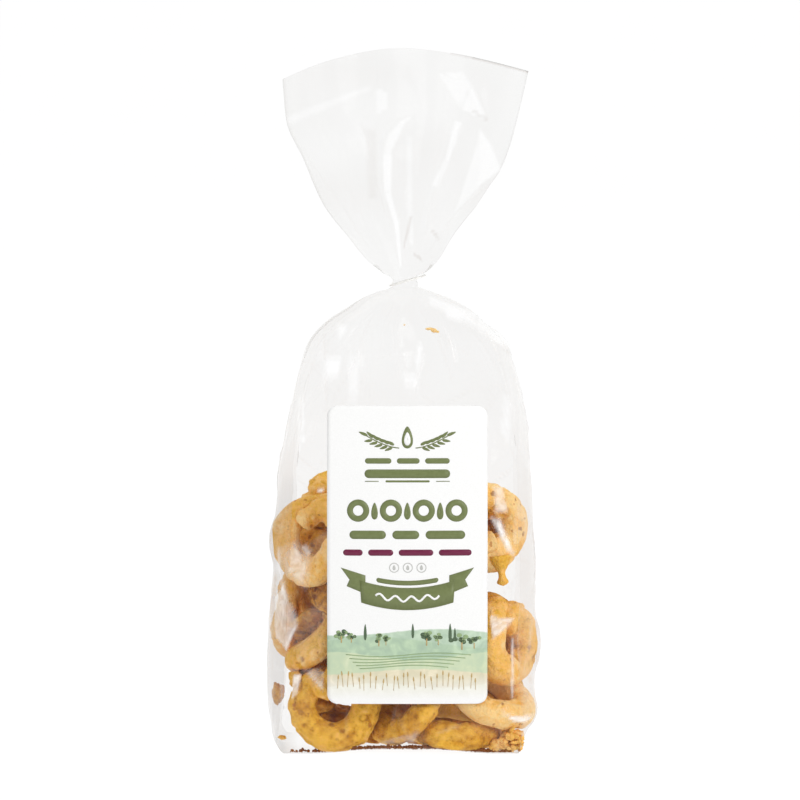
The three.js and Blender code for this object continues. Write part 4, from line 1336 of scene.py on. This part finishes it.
# Broken-off ends of rings, lodged behind the gaps to fill them with dough that is painted brown as the
# # shade there: middle, radii and how brown.
BROKEN_ENDS = [
    ((-45, -15, 30), (5, 5, 6.5), 0.4), ((-34.6, -3, 19), (8, 5.5, 5), 0.98),
    ((-41.5, -2, 53.5), (7.5, 4.5, 7.5), 0.8), ((-38.4, 20, 80.5), (6.5, 4.5, 5), 0.5),
    ((33.5, -6, 93.5), (8, 5, 8), 1.2), ((-14.5, -9, 5.5), (8, 6, 4.5), 1.0),
    ((4.5, -6, 5), (8, 6, 4), 1.0), ((-38, -2, 33.5), (6.5, 4, 5), 0.9),
    ((-34, 0, 96.5), (5, 4, 4.5), 0.7), ((-43, 3, 47), (7, 4, 6), 0.9),
]
# Rows and columns of points on a bit, a caught crumb and a large piece, and the flat breaks on each.
BIT_GRID, CAUGHT_GRID, LARGE_GRID = (9, 11), (14, 16), (40, 44)
BREAKS = 5


def crumb(middle, radii, seed, sides, turned):
    """A broken bit: a ball with flat, craggy faces."""
    rows, columns = sides
    v = np.linspace(0.001, math.pi - 0.001, rows)[:, None]
    u = (np.arange(columns) * 2 * math.pi / columns)[None]
    ball = np.stack([np.sin(v) * np.cos(u), np.sin(v) * np.sin(u), np.cos(v) + 0 * u], axis=-1)
    rng = np.random.default_rng(seed)
    for _ in range(BREAKS):
        cut = rng.normal(size=3)
        cut = cut / np.linalg.norm(cut)
        out = ball @ cut - rng.uniform(0.6, 0.85)
        ball = ball - np.maximum(out, 0)[..., None] * cut
    coarse, fine = lumps(ball * 2.4 + 20 * seed, 1.6, 14), lumps(ball * 6 + 20 * seed, 1.4, 15)
    ball = ball * (1 + 0.24 * coarse + 0.12 * fine)[..., None]
    basis = ring_basis(rng.normal(size=3)) if turned else np.eye(3)
    return ball * np.array(radii) @ basis + np.array(middle)


def loose_bits(rng):
    """The heap in the corner, the coarse bits on top, the line along the foot, a few at the right side
    and the single crumb: middle, size and how brown."""
    bits = []
    for i in range(HEAP_BITS):
        size = rng.uniform(0.6, 1.4) if i < HEAP_FINE else rng.uniform(1.2, 2.5)
        x = HEAP_FROM + HEAP_LONG * rng.beta(1.9, 1.2)
        level = rng.uniform(0, 1) ** 1.3 * max(0, HEAP_HIGH * (1 - abs(x - HEAP_TOP) / 10))
        bits.append(((x, -29 + size + rng.uniform(0, 8), 0.4 + size * 0.7 + level), size, HEAP_BROWN))
    for i in range(FOOT_BITS):
        size = rng.uniform(0.35, 1.0)
        # One in nine lies further to the left.
        x = rng.uniform(-22, 46) if i % 9 else rng.uniform(-48, -20)
        y = -28.2 + size + abs(rng.normal(0, 1.0))
        bits.append(((x, y, 0.3 + size * 0.7 + foot_rise(x, y, 0)), size, FOOT_BROWN_AND_SHADE))
    for _ in range(SIDE_BITS):
        size = rng.uniform(0.3, 1.0)
        bits.append(((rng.uniform(44, 50), rng.uniform(-24, 20), 0.3 + size * 0.6), size, SIDE_BROWN))
    return [*bits, SINGLE_CRUMB]


def make_crumbs():
    """All broken bits as one mesh."""
    rng = np.random.default_rng(CRUMB_SEED)
    bits = [
        (middle, size * rng.uniform(0.5, 1.15, 3), brown, BIT_GRID, True)
        for middle, size, brown in loose_bits(rng)
    ]
    bits.append((*CHUNK, CHUNK_BROWN, LARGE_GRID, False))
    bits += [(*caught, CAUGHT_BROWN, CAUGHT_GRID, False) for caught in CAUGHT_CRUMBS]
    bits += [(*broken, LARGE_GRID, True) for broken in BROKEN_ENDS]
    batch = Batch()
    for k, (middle, radii, brown, sides, turned) in enumerate(bits):
        grid = crumb(middle, radii, 100 + k, sides, turned)
        grid[..., 2] = np.maximum(grid[..., 2], FOOT_CLEAR)
        batch.keep(grid, brown)
    return batch.piece("crumbs")


crumbs = make_crumbs()
crumbs.data.materials.append(taralli.data.materials[0])
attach(crumbs, "root")
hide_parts("bag")


# ---- The studio --------------------------------------------------------------------------------
# The bag stands on a sweep of white paper that curves up behind it. A large soft light comes from the
# right and above, a weaker one from the left, and one from over the bag.

# The camera looks a little down on the bag. Its distance and what it takes in, in metres.
CAMERA_HEIGHT_DEGREES = 4.0
CAMERA_AWAY = 1.6
VIEW_WIDE = 0.344
SENSOR = 36
VIEW_MIDDLE = Vector((-1.3, 0, 148.6)) * MM
# The sweep, in metres: its half width and height, how far it reaches to the front, where it starts to
# curve up, and how roundly.
SWEEP_WIDE, SWEEP_FRONT, WALL_FROM, WALL_ROUND = 7.0, 14.0, 1.8, 0.6


def make_sweep():
    """The floor, curving up into the wall behind, wide enough to be looked at from every side."""
    profile = [(-SWEEP_FRONT, 0.0), (WALL_FROM, 0.0)]
    for a in np.radians(7.5 * np.arange(1, 13)):
        profile.append((WALL_FROM + WALL_ROUND * math.sin(a), WALL_ROUND * (1 - math.cos(a))))
    profile.append((WALL_FROM + WALL_ROUND, SWEEP_WIDE))
    points = [(x, y, z) for y, z in profile for x in (-SWEEP_WIDE, SWEEP_WIDE)]
    return add_piece("sweep", np.array(points) / MM, grid_faces(len(profile), 2, False, False))


def white_sweep():
    """Matt white paper that is lit evenly, so that the bag stands in an all-white room."""
    finish = Finish("white_sweep")
    finish.set(finish.shader, {
        "Base Color": finish.ramp(finish.noise(60, 2), (0.3, srgb(58, 58, 58)), (0.7, srgb(62, 62, 62))),
        "Roughness": 0.9, "Emission Color": (1, 1, 1, 1), "Emission Strength": 0.955,
    })
    return finish.material


sweep = make_sweep()
sweep.data.materials.append(white_sweep())


def add_light(name, place, size, watts, aim=(0, 0, 0.12)):
    """A soft rectangular light, in metres and watts, turned to the bag."""
    light = bpy.data.lights.new(name, "AREA")
    light.shape, light.size, light.size_y, light.energy = "RECTANGLE", *size, watts
    lamp = bpy.data.objects.new(name, light)
    lamp.location = place
    lamp.rotation_euler = (Vector(aim) - Vector(place)).to_track_quat("-Z", "Y").to_euler()
    bpy.context.scene.collection.objects.link(lamp)


add_light("key", (1.1, -0.9, 0.9), (1.2, 1.2), 15)
add_light("fill", (-1.1, -0.9, 0.7), (1.0, 1.2), 4.6)
add_light("top", (0.0, 0.1, 1.5), (1.2, 0.8), 5)

world = bpy.data.worlds.new("studio")
world.use_nodes = True
backdrop = world.node_tree.nodes["Background"]
backdrop.inputs["Color"].default_value = (0.62, 0.62, 0.62, 1)
backdrop.inputs["Strength"].default_value = 0.7
bpy.context.scene.world = world
bpy.context.scene.view_settings.view_transform = "Standard"
bpy.context.scene.cycles.transparent_max_bounces = 48

camera = bpy.data.objects.new("camera", bpy.data.cameras.new("camera"))
lift = math.radians(CAMERA_HEIGHT_DEGREES)
camera.location = VIEW_MIDDLE + CAMERA_AWAY * Vector((0, -math.cos(lift), math.sin(lift)))
camera.rotation_euler = (VIEW_MIDDLE - camera.location).to_track_quat("-Z", "Y").to_euler()
camera.data.sensor_width = SENSOR
camera.data.lens = SENSOR * CAMERA_AWAY / VIEW_WIDE
bpy.context.scene.collection.objects.link(camera)
bpy.context.scene.camera = camera
